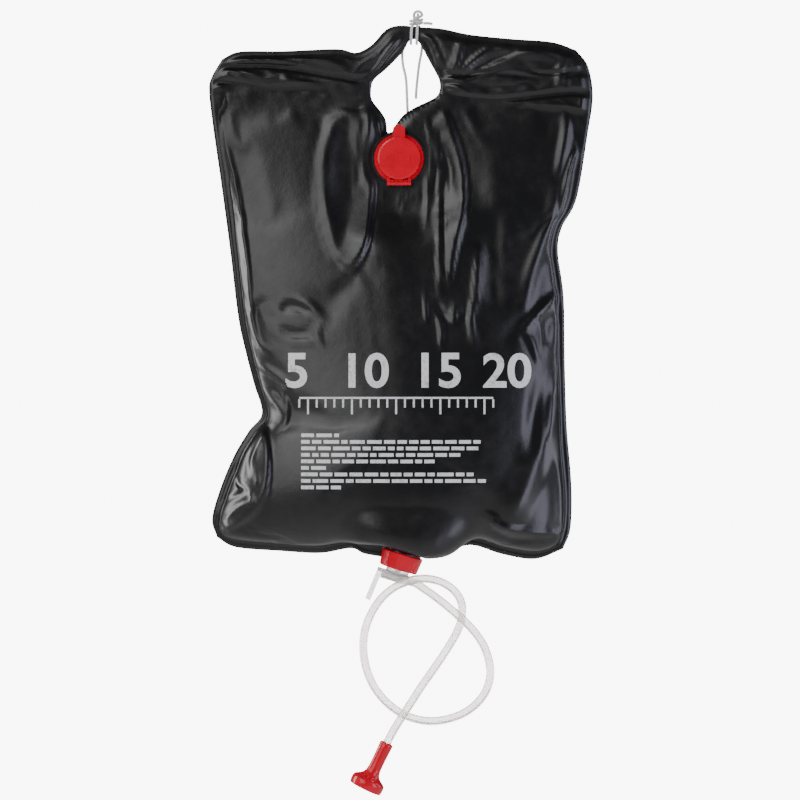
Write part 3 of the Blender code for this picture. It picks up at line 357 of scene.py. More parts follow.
for strand, way in (("cord_strand_left", -1), ("cord_strand_right", 1)):
    cord_lines[strand] = strand_line(strand_middle + way * strand_apart_top,
                                     strand_middle + way * strand_apart_low)
    print(strand, round(line_length(cord_lines[strand]), 3), "m")

# %% [markdown]
# The knot is a turn and a half of cord wound round the strands. A short end stands out beside it, and two
# loose tails hang behind the strip and show through the hand hole.

# %% The knot and the loose ends
knot_turns, knot_radius = 1.6, 0.0066
turns = np.linspace(0.0, 1.0, knot_rings)
wrap = np.stack([knot_x + knot_radius * np.cos(2 * math.pi * knot_turns * turns),
                 knot_radius * np.sin(2 * math.pi * knot_turns * turns),
                 -knot_drop + knot_rise * (0.5 - turns)], axis=1)
stub_foot = np.array([knot_x + knot_radius + cord_diameter / 2 + cord_gap, 0.0, -knot_drop - knot_rise * 0.3])
stub_route = thousandths(((0, 0, 0), (3.5, -0.2, 0.2), (7.0, 0.2, 0), (10.0, 0.4, -0.6)))
long_tail = thousandths((
    (-5.4, 6.4, -18.3), (-8.4, 6.3, -22.6), (-14, 6.4, -32), (-17.8, 6.4, -47), (-17.2, 6.4, -62),
    (-13.8, 6.4, -78), (-12.6, 6.6, -98), (-11.9, 8, -116), (-11, 10, -128),
))
short_tail = thousandths((
    (0.8, 6.4, -17.5), (3, 6.2, -22.2), (4.8, 6.4, -34), (4.1, 6.4, -47), (1.1, 6.4, -64), (-1.7, 6.4, -90),
    (-2.3, 6.4, -101),
))
cord_lines |= {
    "cord_knot": wrap,
    "cord_short_end": smooth_line(stub_foot + stub_route, cord_steps),
    "cord_tail_long": smooth_line(long_tail),
    "cord_tail_short": smooth_line(short_tail),
}
print("cord has", len(cord_lines), "runs")

# %% [markdown]
# Each run is its own tube, so each can be a little different. The strands are pulled taut by the bag, and
# the tails hang free and end bare, as cut cord does.

cord_order = ("cord_loop_outer", "cord_loop_inner", "cord_knot", "cord_strand_left", "cord_strand_right",
              "cord_tail_long", "cord_tail_short", "cord_short_end")
cord_pieces = {}
for node in cord_order:
    piece = sweep("white_" + node, cord_lines[node], cord_diameter / 2, sides=20)
    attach(piece, "bag")
    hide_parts(node)
    cord_pieces[node] = piece

# %% [markdown]
# Every finish is built from nodes. To keep the maths readable, one small class holds a value inside a
# material, and adding or multiplying such values makes the Math nodes.

# %% Shader maths in plain Python
class Value:
    """A value among some nodes, which Python's operators can work on."""

    def __init__(self, home, socket):
        self.home, self.socket = home, socket

    def maths(self, operation, *values):
        return self.home.node("ShaderNodeMath", {"operation": operation}, dict(enumerate(values)))

    def __add__(self, other):
        return self.maths("ADD", self, other)

    def __sub__(self, other):
        return self.maths("SUBTRACT", self, other)

    def __rsub__(self, other):
        return self.maths("SUBTRACT", other, self)

    def __mul__(self, other):
        return self.maths("MULTIPLY", self, other)

    __radd__ = __add__
    __rmul__ = __mul__

    def larger(self, other):
        return self.maths("MAXIMUM", self, other)

    def sine(self):
        return self.maths("SINE", self)

    def between(self, low, high):
        """This value moved smoothly from the range low to high into 0 to 1."""
        sockets = {"Value": self, "From Min": low, "From Max": high}
        return self.home.node("ShaderNodeMapRange", {"interpolation_type": "SMOOTHSTEP"}, sockets)


print("values know +, -, *, larger, sine and between")

# %% [markdown]
# Anything else, such as a noise texture or a mix of two colours, comes from one method that sets the node's
# options and then its sockets. It works for a material's nodes and for the world's.

# %% Any other node
class Nodes:
    """The nodes of a material or of the world, while they are built."""

    def __init__(self, owner):
        owner.use_nodes = True
        self.tree = owner.node_tree

    def node(self, kind, options, sockets, output=0):
        """A node with its options set first and then its sockets, given by name or number."""
        node = self.tree.nodes.new(kind)
        for option, value in options.items():
            setattr(node, option, value)
        for socket, value in sockets.items():
            self.feed(node.inputs[socket], value)
        return Value(self, node.outputs[output])

    def feed(self, socket, value):
        """Link a value to a socket, or set the socket to a number or colour."""
        if isinstance(value, Value):
            self.tree.links.new(value.socket, socket)
        else:
            socket.default_value = value


print("helper for nodes ready")

# %% [markdown]
# Every piece's finish is one Principled shader. What varies over the surface, such as colour, roughness and
# small bumps, comes from nodes. What is the same all over is a number on the shader itself.

# %% A finish
class Paint(Nodes):
    """A finish being built: a Principled shader and the nodes that feed it."""

    def __init__(self, name, **constants):
        self.material = bpy.data.materials.new(name)
        super().__init__(self.material)
        self.shader = self.tree.nodes["Principled BSDF"]
        for socket, value in constants.items():
            self.into(socket.replace("_", " "), value)

    def into(self, name, value):
        """Feed one of the Principled shader's own sockets."""
        self.feed(self.shader.inputs[name], value)

    def place(self):
        """The point on the surface, in metres in the piece's own frame."""
        return self.node("ShaderNodeTexCoord", {}, {}, "Object")

    def noise(self, scale, detail=3.0, roughness=0.5):
        """Cloudy noise from 0 to 1, with so many spots to the metre."""
        sockets = {"Vector": self.place(), "Scale": scale, "Detail": detail, "Roughness": roughness}
        return self.node("ShaderNodeTexNoise", {}, sockets)

    def mark(self, name):
        """A number kept at each point of the mesh."""
        return self.node("ShaderNodeAttribute", {"attribute_name": name}, {}, "Fac")

    def blend(self, factor, first, second):
        """A colour between two. The Mix node takes colours at sockets 6 and 7, and gives one at 2."""
        return self.node("ShaderNodeMix", {"data_type": "RGBA"}, {0: factor, 6: first, 7: second}, 2)

    def raised(self, height, distance):
        """Bumps of this height, in metres where distance is 1, fed to the shader's Normal."""
        sockets = {"Height": height, "Distance": distance}
        self.into("Normal", self.node("ShaderNodeBump", {}, sockets, "Normal"))


def rgb(red, green, blue):
    """A colour with its alpha."""
    return (red, green, blue, 1.0)


def finished(paint):
    """A paint's material, once all its nodes are in."""
    print("finish", paint.material.name, "has", len(paint.tree.nodes), "nodes")
    return paint.material


print("helpers for finishes ready")

# %% [markdown]
# The bag's film is calendered black PVC: nearly black, with a wet gloss. Its gloss isn't even, because
# handling leaves a dull bloom and fine crinkles, so roughness and a very low bump change across it.

# %% Black film finish
def black_film():
    """Glossy black PVC film with a faint bloom and fine crinkles."""
    paint = Paint("black_pvc_film", Specular_IOR_Level=0.5, Coat_Weight=0.10, Coat_Roughness=0.14)
    bloom = (paint.noise(9.0, 4.0) * 0.6 + paint.noise(70.0, 4.0, 0.6) * 0.4).between(0.42, 0.72)
    paint.into("Base Color", paint.blend(bloom, rgb(0.0050, 0.0050, 0.0056), rgb(0.0110, 0.0107, 0.0120)))
    paint.into("Roughness", bloom * 0.12 + 0.31)
    crinkle, grain = paint.noise(38.0, 3.0, 0.55), paint.noise(420.0, 2.0)
    paint.raised(crinkle + grain * 0.08, 0.0005)
    return finished(paint)


film_finish = black_film()

# %% [markdown]
# The filler, the collar and the shower head are moulded in a bright red plastic that takes a shine. The
# white tap is natural polyethylene, which lets a little light into it, so it is slightly clear and has a
# waxy surface. Both have the slight unevenness of a moulding.

# %% Moulded finishes
def moulded(name, color, darker, roughness, clearness=0.0, coat=0.0):
    """A moulded plastic: an even colour with faint flow marks and a fine orange-peel skin."""
    paint = Paint(name, Specular_IOR_Level=0.5, Transmission_Weight=clearness, IOR=1.3,
                  Coat_Weight=coat, Coat_Roughness=0.08)
    flow = paint.noise(60.0)
    paint.into("Base Color", paint.blend(flow.between(0.35, 0.75), color, darker))
    paint.into("Roughness", flow * 0.12 + roughness)
    paint.raised(paint.noise(500.0, 2.0), 0.00008)
    return finished(paint)


red_finish = moulded("red_moulding", rgb(0.78, 0.004, 0.024), rgb(0.66, 0.003, 0.020), 0.16, coat=0.35)
white_finish = moulded("white_moulding", rgb(0.86, 0.86, 0.85), rgb(0.81, 0.81, 0.80), 0.30, clearness=0.45)
shower_head.data.materials.append(red_finish)

# %% [markdown]
# The hose is clear, but looks milky at its walls: soft vinyl has a faint haze, and it shows most where
# light passes along the wall. Transmission gives the clearness, and a pale base colour gives the haze.

# %% Hose finish
def clear_vinyl():
    """Clear soft vinyl with a slight pinkish haze."""
    paint = Paint("clear_vinyl_hose", Transmission_Weight=0.72, IOR=1.25, Specular_IOR_Level=0.5)
    haze = paint.noise(90.0)
    milky, darker = rgb(0.90, 0.86, 0.855), rgb(0.82, 0.78, 0.775)
    paint.into("Base Color", paint.blend(haze.between(0.3, 0.8), milky, darker))
    paint.into("Roughness", haze * 0.10 + 0.10)
    paint.raised(paint.noise(160.0, 2.0), 0.0002)
    return finished(paint)


hose.data.materials.append(clear_vinyl())

# %% [markdown]
# The cord is a braid of eight yarns. Two sets of waves that wind in opposite directions round the tube, four
# each way, give the braid: they are worked out from the two numbers that every tube keeps at its points.
# Where the yarns dip, the colour is painted grey as painted shade in the grooves between them.

# %% Cord finish
braid_pitch, yarns_round = 0.0036, 4.0


def braided_cord():
    """White braided cord: two sets of yarns that wind round it in opposite directions, with painted shade in
    the grooves between them.
    """
    paint = Paint("white_braided_cord", Roughness=0.85, Specular_IOR_Level=0.25, Sheen_Weight=0.2)
    wave, turn = paint.mark("along") * (2 * math.pi / braid_pitch), paint.mark("around") * yarns_round
    yarn_relief_and_shade = (wave + turn).sine().larger((wave - turn).sine()) * 0.5 + 0.5
    # The grey where the yarns dip is painted shade in the grooves, not the cord's own colour; the same
    # pattern also feeds the bump.
    paint.into("Base Color", paint.blend(yarn_relief_and_shade, rgb(0.50, 0.50, 0.49), rgb(0.86, 0.86, 0.85)))
    paint.raised(yarn_relief_and_shade, 0.0003)
    return finished(paint)


cord_finish = braided_cord()
for piece in cord_pieces.values():
    piece.data.materials.append(cord_finish)

# %% [markdown]
# The small hidden parts get plain finishes of their own: matt black rubber for the seals and turned
# steel for the cap's pin. The ink on the bag is a matt white that lets a little black through.

# %% Rubber, steel and ink
def seal_rubber():
    """Matt black moulded rubber."""
    paint = Paint("seal_rubber", Specular_IOR_Level=0.3)
    spots = paint.noise(300.0)
    paint.into("Base Color", paint.blend(spots, rgb(0.018, 0.018, 0.019), rgb(0.035, 0.034, 0.033)))
    paint.into("Roughness", spots * 0.15 + 0.62)
    return finished(paint)


def turned_steel():
    """Bright turned steel with fine rings."""
    paint = Paint("turned_steel", Metallic=1.0)
    x = paint.node("ShaderNodeSeparateXYZ", {}, {0: paint.place()}, "X")
    rings = (x * 9000.0).sine() * 0.5 + 0.5
    paint.into("Base Color", paint.blend(rings, rgb(0.50, 0.50, 0.51), rgb(0.66, 0.66, 0.67)))
    paint.into("Roughness", rings * 0.1 + 0.26)
    return finished(paint)


def white_ink():
    """Screen-printed white ink, thinner in places."""
    paint = Paint("white_ink", Roughness=0.45, Specular_IOR_Level=0.4)
    worn = (paint.noise(220.0, 4.0, 0.6) * 0.7 + paint.noise(30.0) * 0.3).between(0.36, 0.50)
    paint.into("Base Color", paint.blend(worn, rgb(0.55, 0.55, 0.55), rgb(0.84, 0.84, 0.84)))
    return finished(paint)


rubber_finish, steel_finish, ink_finish = seal_rubber(), turned_steel(), white_ink()

# %% [markdown]
# The bag is two sheets welded round their edges, so both share one outline. The outline is four edges,
# written as thousandths of the bag's width and height, and a Coons patch fills a grid between them: it
# blends the two sides and the top and bottom, so the grid's lines follow the film as it hangs.

# %% The bag's outline
bag_width, bag_height = 0.440, 0.612
bag_left, bag_top = -0.2395, -0.0172
left_edge = thousandths((
    (34, 64), (8, 96), (0, 122), (10, 189), (31, 294), (55, 423), (76, 547), (96, 614), (117, 672),
    (138, 727), (104, 760), (65, 807), (29, 869), (8, 925), (21, 959),
))
top_edge = thousandths((
    (34, 64), (81, 50), (195, 49), (333, 45), (383, 52), (424, 37), (461, 9), (497, 1), (549, 4), (607, 7),
    (680, 18), (789, 26), (893, 32), (956, 47),
))
right_edge = thousandths((
    (956, 47), (987, 77), (1000, 133), (987, 202), (958, 324), (919, 380), (909, 425), (924, 509),
    (927, 635), (932, 749), (943, 845), (945, 904), (940, 949), (922, 981),
))
bottom_edge = thousandths((
    (21, 959), (70, 978), (185, 985), (289, 989), (370, 980), (409, 991), (497, 998), (602, 991),
    (680, 974), (763, 991), (849, 1000), (922, 981),
))


def coons(across, down):
    """Lay shares across and down the film into the bag's outline, as places in X and Z."""
    left, right, top, bottom = (smooth_line(edge) for edge in (left_edge, right_edge, top_edge, bottom_edge))
    s, t = across[..., None], down[..., None]
    corners = ((1 - s) * (1 - t) * top[0] + s * (1 - t) * top[-1] + (1 - s) * t * bottom[0]
               + s * t * bottom[-1])
    shares = ((1 - s) * spaced(left, down) + s * spaced(right, down)
              + (1 - t) * spaced(top, across) + t * spaced(bottom, across) - corners)
    return bag_left + shares[..., 0] * bag_width, bag_top - shares[..., 1] * bag_height


print("outline drawn with", sum(map(len, (left_edge, right_edge, top_edge, bottom_edge))), "points")

# %% [markdown]
# The hand hole is a second closed outline inside the first, drawn in the same way as thousandths of its own
# box. The filler and the outlet are welded to the front sheet, so their places are needed as well.

# %% The hand hole, the filler's place and the outlet's
hole_left, hole_top, hole_width, hole_height = -0.05351, -0.03532, 0.0787, 0.1060
hole_shares = thousandths((
    (556, 0), (677, 0), (825, 193), (913, 310), (985, 416), (1000, 512), (956, 597), (840, 650), (658, 713),
    (473, 800), (345, 920), (290, 1000), (235, 990), (225, 920), (204, 841), (119, 745), (9, 639), (0, 512),
    (45, 416), (194, 321), (342, 214), (473, 108),
))
shares = smooth_line(hole_shares, 4, cyclic=True)
hole_edge = np.stack([hole_left + shares[:, 0] * hole_width, hole_top - shares[:, 1] * hole_height], axis=1)
filler_x, filler_z, filler_face = -0.02179, -0.17075, -0.00415
outlet_x, outlet_z, outlet_forward = outlet_place[0], -0.6192, 0.027
print("hand hole drawn with", len(hole_edge), "points")

# %% [markdown]
# The grid's columns crowd at the sides and the middle, where the film turns fastest. Its rows follow the
# water: even rows in the dry top band, even ones again down to where the bag is fullest, and then rows at
# even steps of depth, so the round bottom gets as many as it needs. Last come three rows of flat seam.

# %% The film's grid
seam = 0.010
side_share, foot_share = seam / bag_width, seam / bag_height
columns, hem_rows, upper_rows, lower_rows = 136, 56, 96, 46
crowding, row_power, inward_reach, fine_steps = 0.45, 1.15, 0.3, 6000
hem_left, hem_right_more, hem_changes = 0.074, 0.061, (0.4, 0.6)
top_slackness, bottom_bluntness, bottom_power = 1.2, 6.0, 0.30


def depth_down(share):
    """How deep the water is at a share of the way down it, before its greatest depth is made 1."""
    return share**top_slackness * (1 - share**bottom_bluntness) ** bottom_power


fullest = (top_slackness / (top_slackness + bottom_bluntness * bottom_power)) ** (1 / bottom_bluntness)


def film_grid():
    """Shares across and down the film, with the share where the hem ends and the water begins."""
    q = np.linspace(-1.0, 1.0, columns - 3)
    crowded = q - crowding * np.sin(2 * math.pi * q) / (2 * math.pi)
    inner = side_share + (1 - 2 * side_share) * (crowded + 1) / 2
    across = np.concatenate([[0.0, side_share / 2], inner, [1 - side_share / 2, 1.0]])
    top = hem_left + hem_right_more * eased(across, *hem_changes)
    below = np.linspace(1.0, fullest, fine_steps)
    turn = np.linspace(0.0, math.pi / 2, lower_rows + 1)[1:-1]
    depths = np.cos(turn**row_power / (math.pi / 2) ** (row_power - 1))
    lower = np.interp(depths, depth_down(below) / depth_down(fullest), below)
    even = np.linspace(fullest, 1.0, lower_rows + 1)[1:-1]
    inward = eased(np.minimum(across, 1 - across), 0.0, inward_reach)
    wet = 1 - foot_share - top
    rows = [top * share for share in np.linspace(0.0, 1.0, hem_rows, endpoint=False)]
    rows += [top + wet * share for share in np.linspace(0.0, fullest, upper_rows)]
    rows += [top + wet * (e + inward * (d - e)) for e, d in zip(even, lower)]
    rows += [np.full_like(across, share) for share in (1 - foot_share, 1 - foot_share / 2, 1.0)]
    down = np.array(rows)
    return np.tile(across, (len(down), 1)), down, top


across, down, top = film_grid()
x, z = coons(across, down)
print("film grid", x.shape)

# %% [markdown]
# Distances to lines do much of the work: the weld round the hand hole, the flange round the edge and every
# crease are all found by how far a point is from a line of points.

# %% Distance to a line
def to_line(x, z, line, closed=False):
    """How far each place is from a line, how far along it (0 to 1), and on which side (-1 or 1)."""
    ends = np.roll(line, -1, axis=0) if closed else line[1:]
    starts = line if closed else line[:-1]
    nearest = np.full(x.shape, np.inf)
    share, side = np.zeros(x.shape), np.zeros(x.shape)
    for i, (a, b) in enumerate(zip(starts, ends)):
        d = b - a
        u = np.clip(((x - a[0]) * d[0] + (z - a[1]) * d[1]) / max(float(d @ d), 1e-12), 0.0, 1.0)
        away = np.hypot(x - a[0] - u * d[0], z - a[1] - u * d[1])
        closer = away < nearest
        nearest = np.where(closer, away, nearest)
        share = np.where(closer, (i + u) / len(starts), share)
        side = np.where(closer, np.sign(d[0] * (z - a[1]) - d[1] * (x - a[0])), side)
    return nearest, share, side


def inside(x, z, line):
    """Whether each place is inside a closed line."""
    within = np.zeros(x.shape, bool)
    for (ax, az), (bx, bz) in zip(line, np.roll(line, -1, axis=0)):
        crosses = (az > z) != (bz > z)
        within ^= crosses & (x < ax + (z - az) / (bz - az if bz != az else 1.0) * (bx - ax))
    return within


in_hole = inside(x, z, hole_edge)
from_hole = np.where(in_hole, 0.0, to_line(x, z, hole_edge, closed=True)[0])
rim = np.vstack([np.stack([x[0], z[0]], 1), np.stack([x[1:, -1], z[1:, -1]], 1),
                 np.stack([x[-1, ::-1], z[-1, ::-1]], 1)[1:], np.stack([x[::-1, 0], z[::-1, 0]], 1)[1:-1]])
from_rim = to_line(x, z, rim[::2], closed=True)[0]
from_filler = np.hypot(x - filler_x, z - filler_z)
print("hand hole", int(in_hole.sum()), "grid points")

# %% [markdown]
# A bag full of water is slack at its top and fullest low down, and it's drawn in along every weld. A few
# powers give that: a blunt curve across, a slow start and a blunt end on the way down, and a soft relief
# round the hand hole, where both sheets are welded together.

# %% How far the film swells
front_depth, back_depth, side_bluntness = 0.060, 0.050, 0.42
hole_weld, hole_relief = 0.005, 0.085
sheet_half = 0.0004


def fullness():
    """The film's swell at each grid point, as a share of its depth."""
    s = np.clip((across - side_share) / (1 - 2 * side_share), 0.0, 1.0)
    wide = (1 - (2 * s - 1) ** 2) ** side_bluntness
    g = np.clip((down - top) / (1 - foot_share - top), 0.0, 1.0)
    tall = depth_down(g) / depth_down(fullest)
    relief = np.sin(math.pi / 2 * np.clip((from_hole - hole_weld) / hole_relief, 0.0, 1.0))
    return wide * tall * relief


swell = fullness()
front = np.stack([x, -sheet_half - front_depth * swell, z], axis=-1)
back = np.stack([x, sheet_half + back_depth * swell, z], axis=-1)
print("bag depth", round(float(back[..., 1].max() - front[..., 1].min()), 3))

# %% [markdown]
# Stiff fittings hold the film flat where they are welded on. The filler's flange presses a round patch of
# the front sheet towards its own plane. The outlet sits on the bag's underside and leans a little, so there
# the film is drawn onto a small tilted plane.

# %% Press the film flat at its fittings
filler_seat, outlet_seat, hole_hold = (0.040, 0.108), (0.0222, 0.058), (0.0025, 0.010)
widening, lean_reach = 0.6, 0.026


def seated(points):
    """The front sheet pressed flat where the filler and the outlet are welded on."""
    y = points[..., 1]
    flat = (1 - eased(from_filler, *filler_seat)) * eased(from_hole, *hole_hold)
    y += flat * (filler_face - y)
    middle = columns // 2
    deepest = int(np.argmin(y[:, middle]))
    seat_z = np.interp(-outlet_forward, y[deepest:-2, middle], z[deepest:-2, middle])
    seat = np.array([outlet_x, -outlet_forward, seat_z])
    from_seat = np.linalg.norm(points - seat, axis=-1)
    sideways = np.abs(x - outlet_x) / np.maximum(from_seat, 1e-6)
    flat = 1 - eased(from_seat / (1 + widening * sideways**2), *outlet_seat)
    flat[-3:] = 0.0
    lean = math.tan(outlet_tilt) * np.clip(x - outlet_x, -lean_reach, lean_reach)
    ahead = np.sign(seat[1] - y) * np.hypot(y - seat[1], z - seat[2])
    target = np.stack([x, -outlet_forward - ahead, outlet_z - lean], axis=-1)
    points += flat[..., None] * (target - points)
    return points, flat


front, outlet_flat = seated(front)
print("outlet holds", int((outlet_flat > 0.99).sum()), "grid points flat")

# %% [markdown]
# The film's folds are what make it look like film. Each crease is a line of points, with a name, a
# half-width and a height in millimetres (below zero for a hollow), a softness and a lean. Softness 0 is a
# sharp crest that catches the light in a thin line, and 1 a rounded swell. A pleat leans: it rises gently
# on one side and drops steeply on the other. Most creases run down from the hand hole and the filler,
# which carry the weight.

# %% Creases on the front
front_creases = (
    ("left lens tongue", 15.5, 6.4, 0, 0.6, (-57, -115), (-54, -155), (-53, -204), (-57, -246), (-63, -275),
     (-78, -299)),
    ("left lens wedge", 4, -2.2, 0.4, 0, (-60, -118), (-63, -141), (-66, -170), (-68, -204)),
    ("right big crest", 11, 5, 0.1, 0.6, (31, -115), (41, -145), (49, -174), (52, -204), (50, -239),
     (43, -273), (36, -315)),
    ("right wedge hollow", 5, -3, 0.8, 0, (29, -155), (36, -181), (38, -212)),
    ("right big hollow", 18, -1.2, 1, 0, (67, -143), (72, -183), (71, -231), (62, -273)),
    ("left lens rim", 14, 3.2, 0.1, -0.16, (-71, -115), (-94, -130), (-103, -155), (-107, -183),
     (-106, -222), (-100, -256), (-90, -287)),
    ("left lens outer crease", 3.6, -1.4, 0.5, 0, (-113, -180), (-112, -216), (-107, -250), (-99, -275),
     (-89, -298)),
    ("right pleat crest", 3.2, 3.4, 0.2, 0, (18, -132), (24, -178), (24, -231), (24, -288), (25, -330)),
    ("right pleat crease", 3, -2.8, 0.3, 0, (28, -189), (29, -231), (30, -269), (31, -308)),
    ("right pleat 1", 3, 2.6, 0.2, 0, (9, -120), (15, -155), (16, -189), (18, -250)),
    ("right pleat 2", 5, 2.6, 0.6, 0, (4, -141), (10, -180), (11, -216), (8, -254)),
    ("dent hollow", 7, -3.4, 0.8, 0, (-157, -345), (-143, -340), (-123, -347)),
    ("dent crest", 4.6, 2.8, 0.2, 0, (-139, -333), (-123, -339), (-108, -353)),
    ("dent crest 2", 4.6, 2.4, 0.2, 0, (-109, -358), (-116, -370), (-108, -386)),
    ("dent hollow 2", 7, -2.8, 0.8, 0, (-158, -366), (-139, -372), (-117, -368)),
    ("dent crest 3", 4, 1.6, 0.4, 0, (-147, -384), (-131, -380), (-115, -386)),
    ("gusset edge", 20, 7, 0.1, 0.75, (-178, -474), (-171, -507), (-173, -548), (-189, -576), (-220, -595)),
    ("gusset ridge 1", 4.2, 2.6, 0.2, 0, (-175, -484), (-186, -503), (-189, -518), (-182, -532),
     (-183, -545)),
    ("gusset ridge 2", 4.2, 2.4, 0.2, 0, (-191, -493), (-201, -510), (-210, -525)),
    ("gusset ridge 3", 4.6, 3.2, 0.2, 0, (-190, -548), (-189, -562), (-199, -567), (-210, -574),
     (-220, -584)),
    ("gusset hollow", 5.5, -3, 0.5, 0, (-209, -525), (-206, -541), (-198, -550), (-213, -559),
     (-223, -567)),
    ("gusset hollow 2", 5, -2, 0.7, 0, (-182, -493), (-193, -513), (-193, -536)),
    ("waist facet", 10, 3.2, 0.1, 0.75, (-152, -440), (-148, -458), (-151, -477)),
    ("right pinch crest", 9, 5, 0.5, 0, (170, -314), (151, -336), (135, -351), (118, -370)),
    ("right pinch crest 2", 7, 2.2, 0.5, 0, (125, -370), (132, -385), (138, -408)),
    ("right pinch hollow", 11, -3, 0.9, 0, (163, -346), (148, -361), (150, -387)),
    ("right pinch line", 3, 1.6, 0.2, 0, (136, -346), (141, -367), (141, -397)),
    ("left of the filler", 6, 2, 0.5, 0, (-49, -120), (-45, -140)),
    ("right patch", 9, 1.4, 0.6, 0, (54, -112), (64, -135), (80, -158)),
    ("right sliver", 7, 3.2, 0.2, 0, (71, -269), (67, -309), (63, -352)),
    ("right lower hollow", 16, -3.5, 1, 0, (88, -229), (85, -298), (88, -350)),
    ("right flank", 14, 4, 0.7, 0, (160, -195), (151, -246), (131, -298), (120, -350)),
    ("hem strap fold 1", 4.5, 3.3, 0.4, 0, (-52, -73), (-38, -52), (-21, -32)),
    ("hem strap fold 2", 3.5, 2.7, 0.4, 0, (-44, -73), (-29, -54), (-12, -39)),
    ("hem strap hollow", 2.6, -1.4, 0.4, 0, (-48, -76), (-33, -54), (-15, -34)),
    ("strap right fold", 5, 3.6, 0.4, 0, (4, -26), (15, -36), (22, -52), (28, -67)),
    ("strap right hollow", 3.4, -1.8, 0.4, 0, (9, -32), (17, -46), (19, -60)),
    ("fan 1", 5.5, 4.2, 0.1, 0, (32, -78), (48, -76), (61, -60), (84, -42)),
    ("fan 2", 7, 3.6, 0.3, 0, (37, -76), (44, -59), (52, -29)),
    ("fan 3", 5, 3.3, 0.15, 0, (32, -80), (62, -78), (103, -70), (151, -77), (186, -70)),
    ("fan hollow", 8, -2.9, 0.6, 0, (40, -77), (62, -69), (94, -54), (123, -43)),
    ("fan hollow 2", 9, -1.8, 0.8, 0, (37, -83), (71, -87), (123, -87), (174, -83)),
    ("hole tip crest", 3, 2.5, 0.2, 0, (29, -80), (40, -80), (51, -80)),
    ("hole tip crest 2", 3, 2.2, 0.2, 0, (30, -87), (42, -88), (54, -92)),
    ("left hem fold", 5, 1.6, 0.6, 0, (-155, -67), (-151, -80), (-158, -93)),
    ("left hem swell", 9, 2.4, 0.9, 0, (-221, -57), (-175, -56), (-118, -57), (-78, -66)),
    ("left hem band", 7, 1.8, 0.8, 0, (-221, -73), (-170, -77), (-112, -87), (-66, -95)),
    ("left hem fold 2", 4, 1.6, 0.4, 0, (-95, -80), (-94, -97)),
    ("right hem swell", 10, 2.4, 0.9, 0, (88, -46), (128, -49), (174, -54)),
    ("right hem round", 9, 2.2, 0.8, 0, (163, -60), (163, -89)),
    ("crumple 1", 3.2, 3, 0.15, 0, (8, -324), (9, -352), (9, -344)),
    ("crumple 2", 4, 3.9, 0.2, 0, (42, -335), (41, -352), (40, -358)),
    ("crumple 3", 3.6, 3.3, 0.2, 0, (22, -350), (27, -370), (25, -387)),
    ("crumple 4", 3.4, -3, 0.3, 0, (54, -335), (54, -352), (48, -350)),
    ("crumple 5", 4.5, 3.6, 0.3, 0, (61, -335), (60, -358), (65, -387)),
    ("crumple 6", 5, -3.6, 0.5, 0, (19, -335), (30, -352), (32, -350)),
    ("left edge crest", 6, 4, 0.15, 0, (-218, -158), (-207, -212), (-198, -269), (-191, -341), (-191, -350),
     (-183, -381), (-168, -394)),
    ("left edge hollow", 6, -3, 0.5, 0, (-227, -149), (-217, -212), (-210, -269), (-203, -341),
     (-200, -355), (-193, -387)),
    ("left waist crease 1", 6, 3.6, 0.15, 0, (-194, -401), (-175, -411), (-154, -425), (-147, -437)),
    ("left waist crease 2", 5, -3, 0.4, 0, (-191, -410), (-172, -421), (-152, -433)),
    ("left waist crest 3", 8, 3.6, 0.4, 0, (-178, -441), (-164, -450), (-151, -467)),
    ("left waist hollow", 7, -3.2, 0.6, 0, (-183, -427), (-164, -435), (-150, -450)),
    ("left waist crest 4", 7, 2.6, 0.5, 0, (-175, -470), (-161, -476), (-150, -473)),
    ("right edge crest", 9, 3, 0.5, 0, (163, -407), (154, -453), (151, -493)),
    ("right edge hollow", 13, -3, 1, 0, (136, -418), (131, -470), (128, -516)),
    ("right corner crest", 8, 4, 0.2, 0, (71, -576), (97, -592), (128, -597), (163, -599)),
    ("right corner hollow", 7, -3.5, 0.6, 0, (74, -590), (103, -603), (134, -607)),
    ("right corner crumple", 4, 2.4, 0.2, 0, (77, -573), (88, -582), (80, -596)),
    ("right corner swell", 23, 6.4, 0.5, 0.2, (164, -445), (138, -510), (115, -562), (92, -605)),
    ("right side crest", 8, 3, 0.4, 0, (160, -516), (166, -562), (166, -599)),
    ("bottom roll", 9, 3.6, 0.4, 0, (-218, -599), (-155, -612), (-101, -615), (-66, -609)),
    ("bottom fold", 7, 4, 0.25, 0, (-89, -607), (-64, -599), (-44, -600)),
    ("bottom fold hollow", 6, -4, 0.5, 0, (-78, -615), (-61, -609), (-44, -609)),
    ("bottom right hollow", 9, -3, 0.7, 0, (22, -590), (40, -607), (60, -615)),
    ("upper right flank lens", 6, 4, 0.2, 0, (193, -152), (177, -172), (167, -212), (163, -249)),
    ("upper right flank hollow", 6, -3.5, 0.5, 0, (194, -172), (183, -206), (171, -241)),
    ("upper right crest", 10, 3, 0.6, 0, (174, -120), (166, -160), (160, -195)),
)
print(len(front_creases), "creases on the front")

# %% [markdown]
# A crease raises each point by how near its line runs, and fades out towards the line's two ends. Where
# creases cross, their heights add up, as folds in film do.

# %% Raise the film by its creases
crease_steps, sharp_crest = 6, 1.4


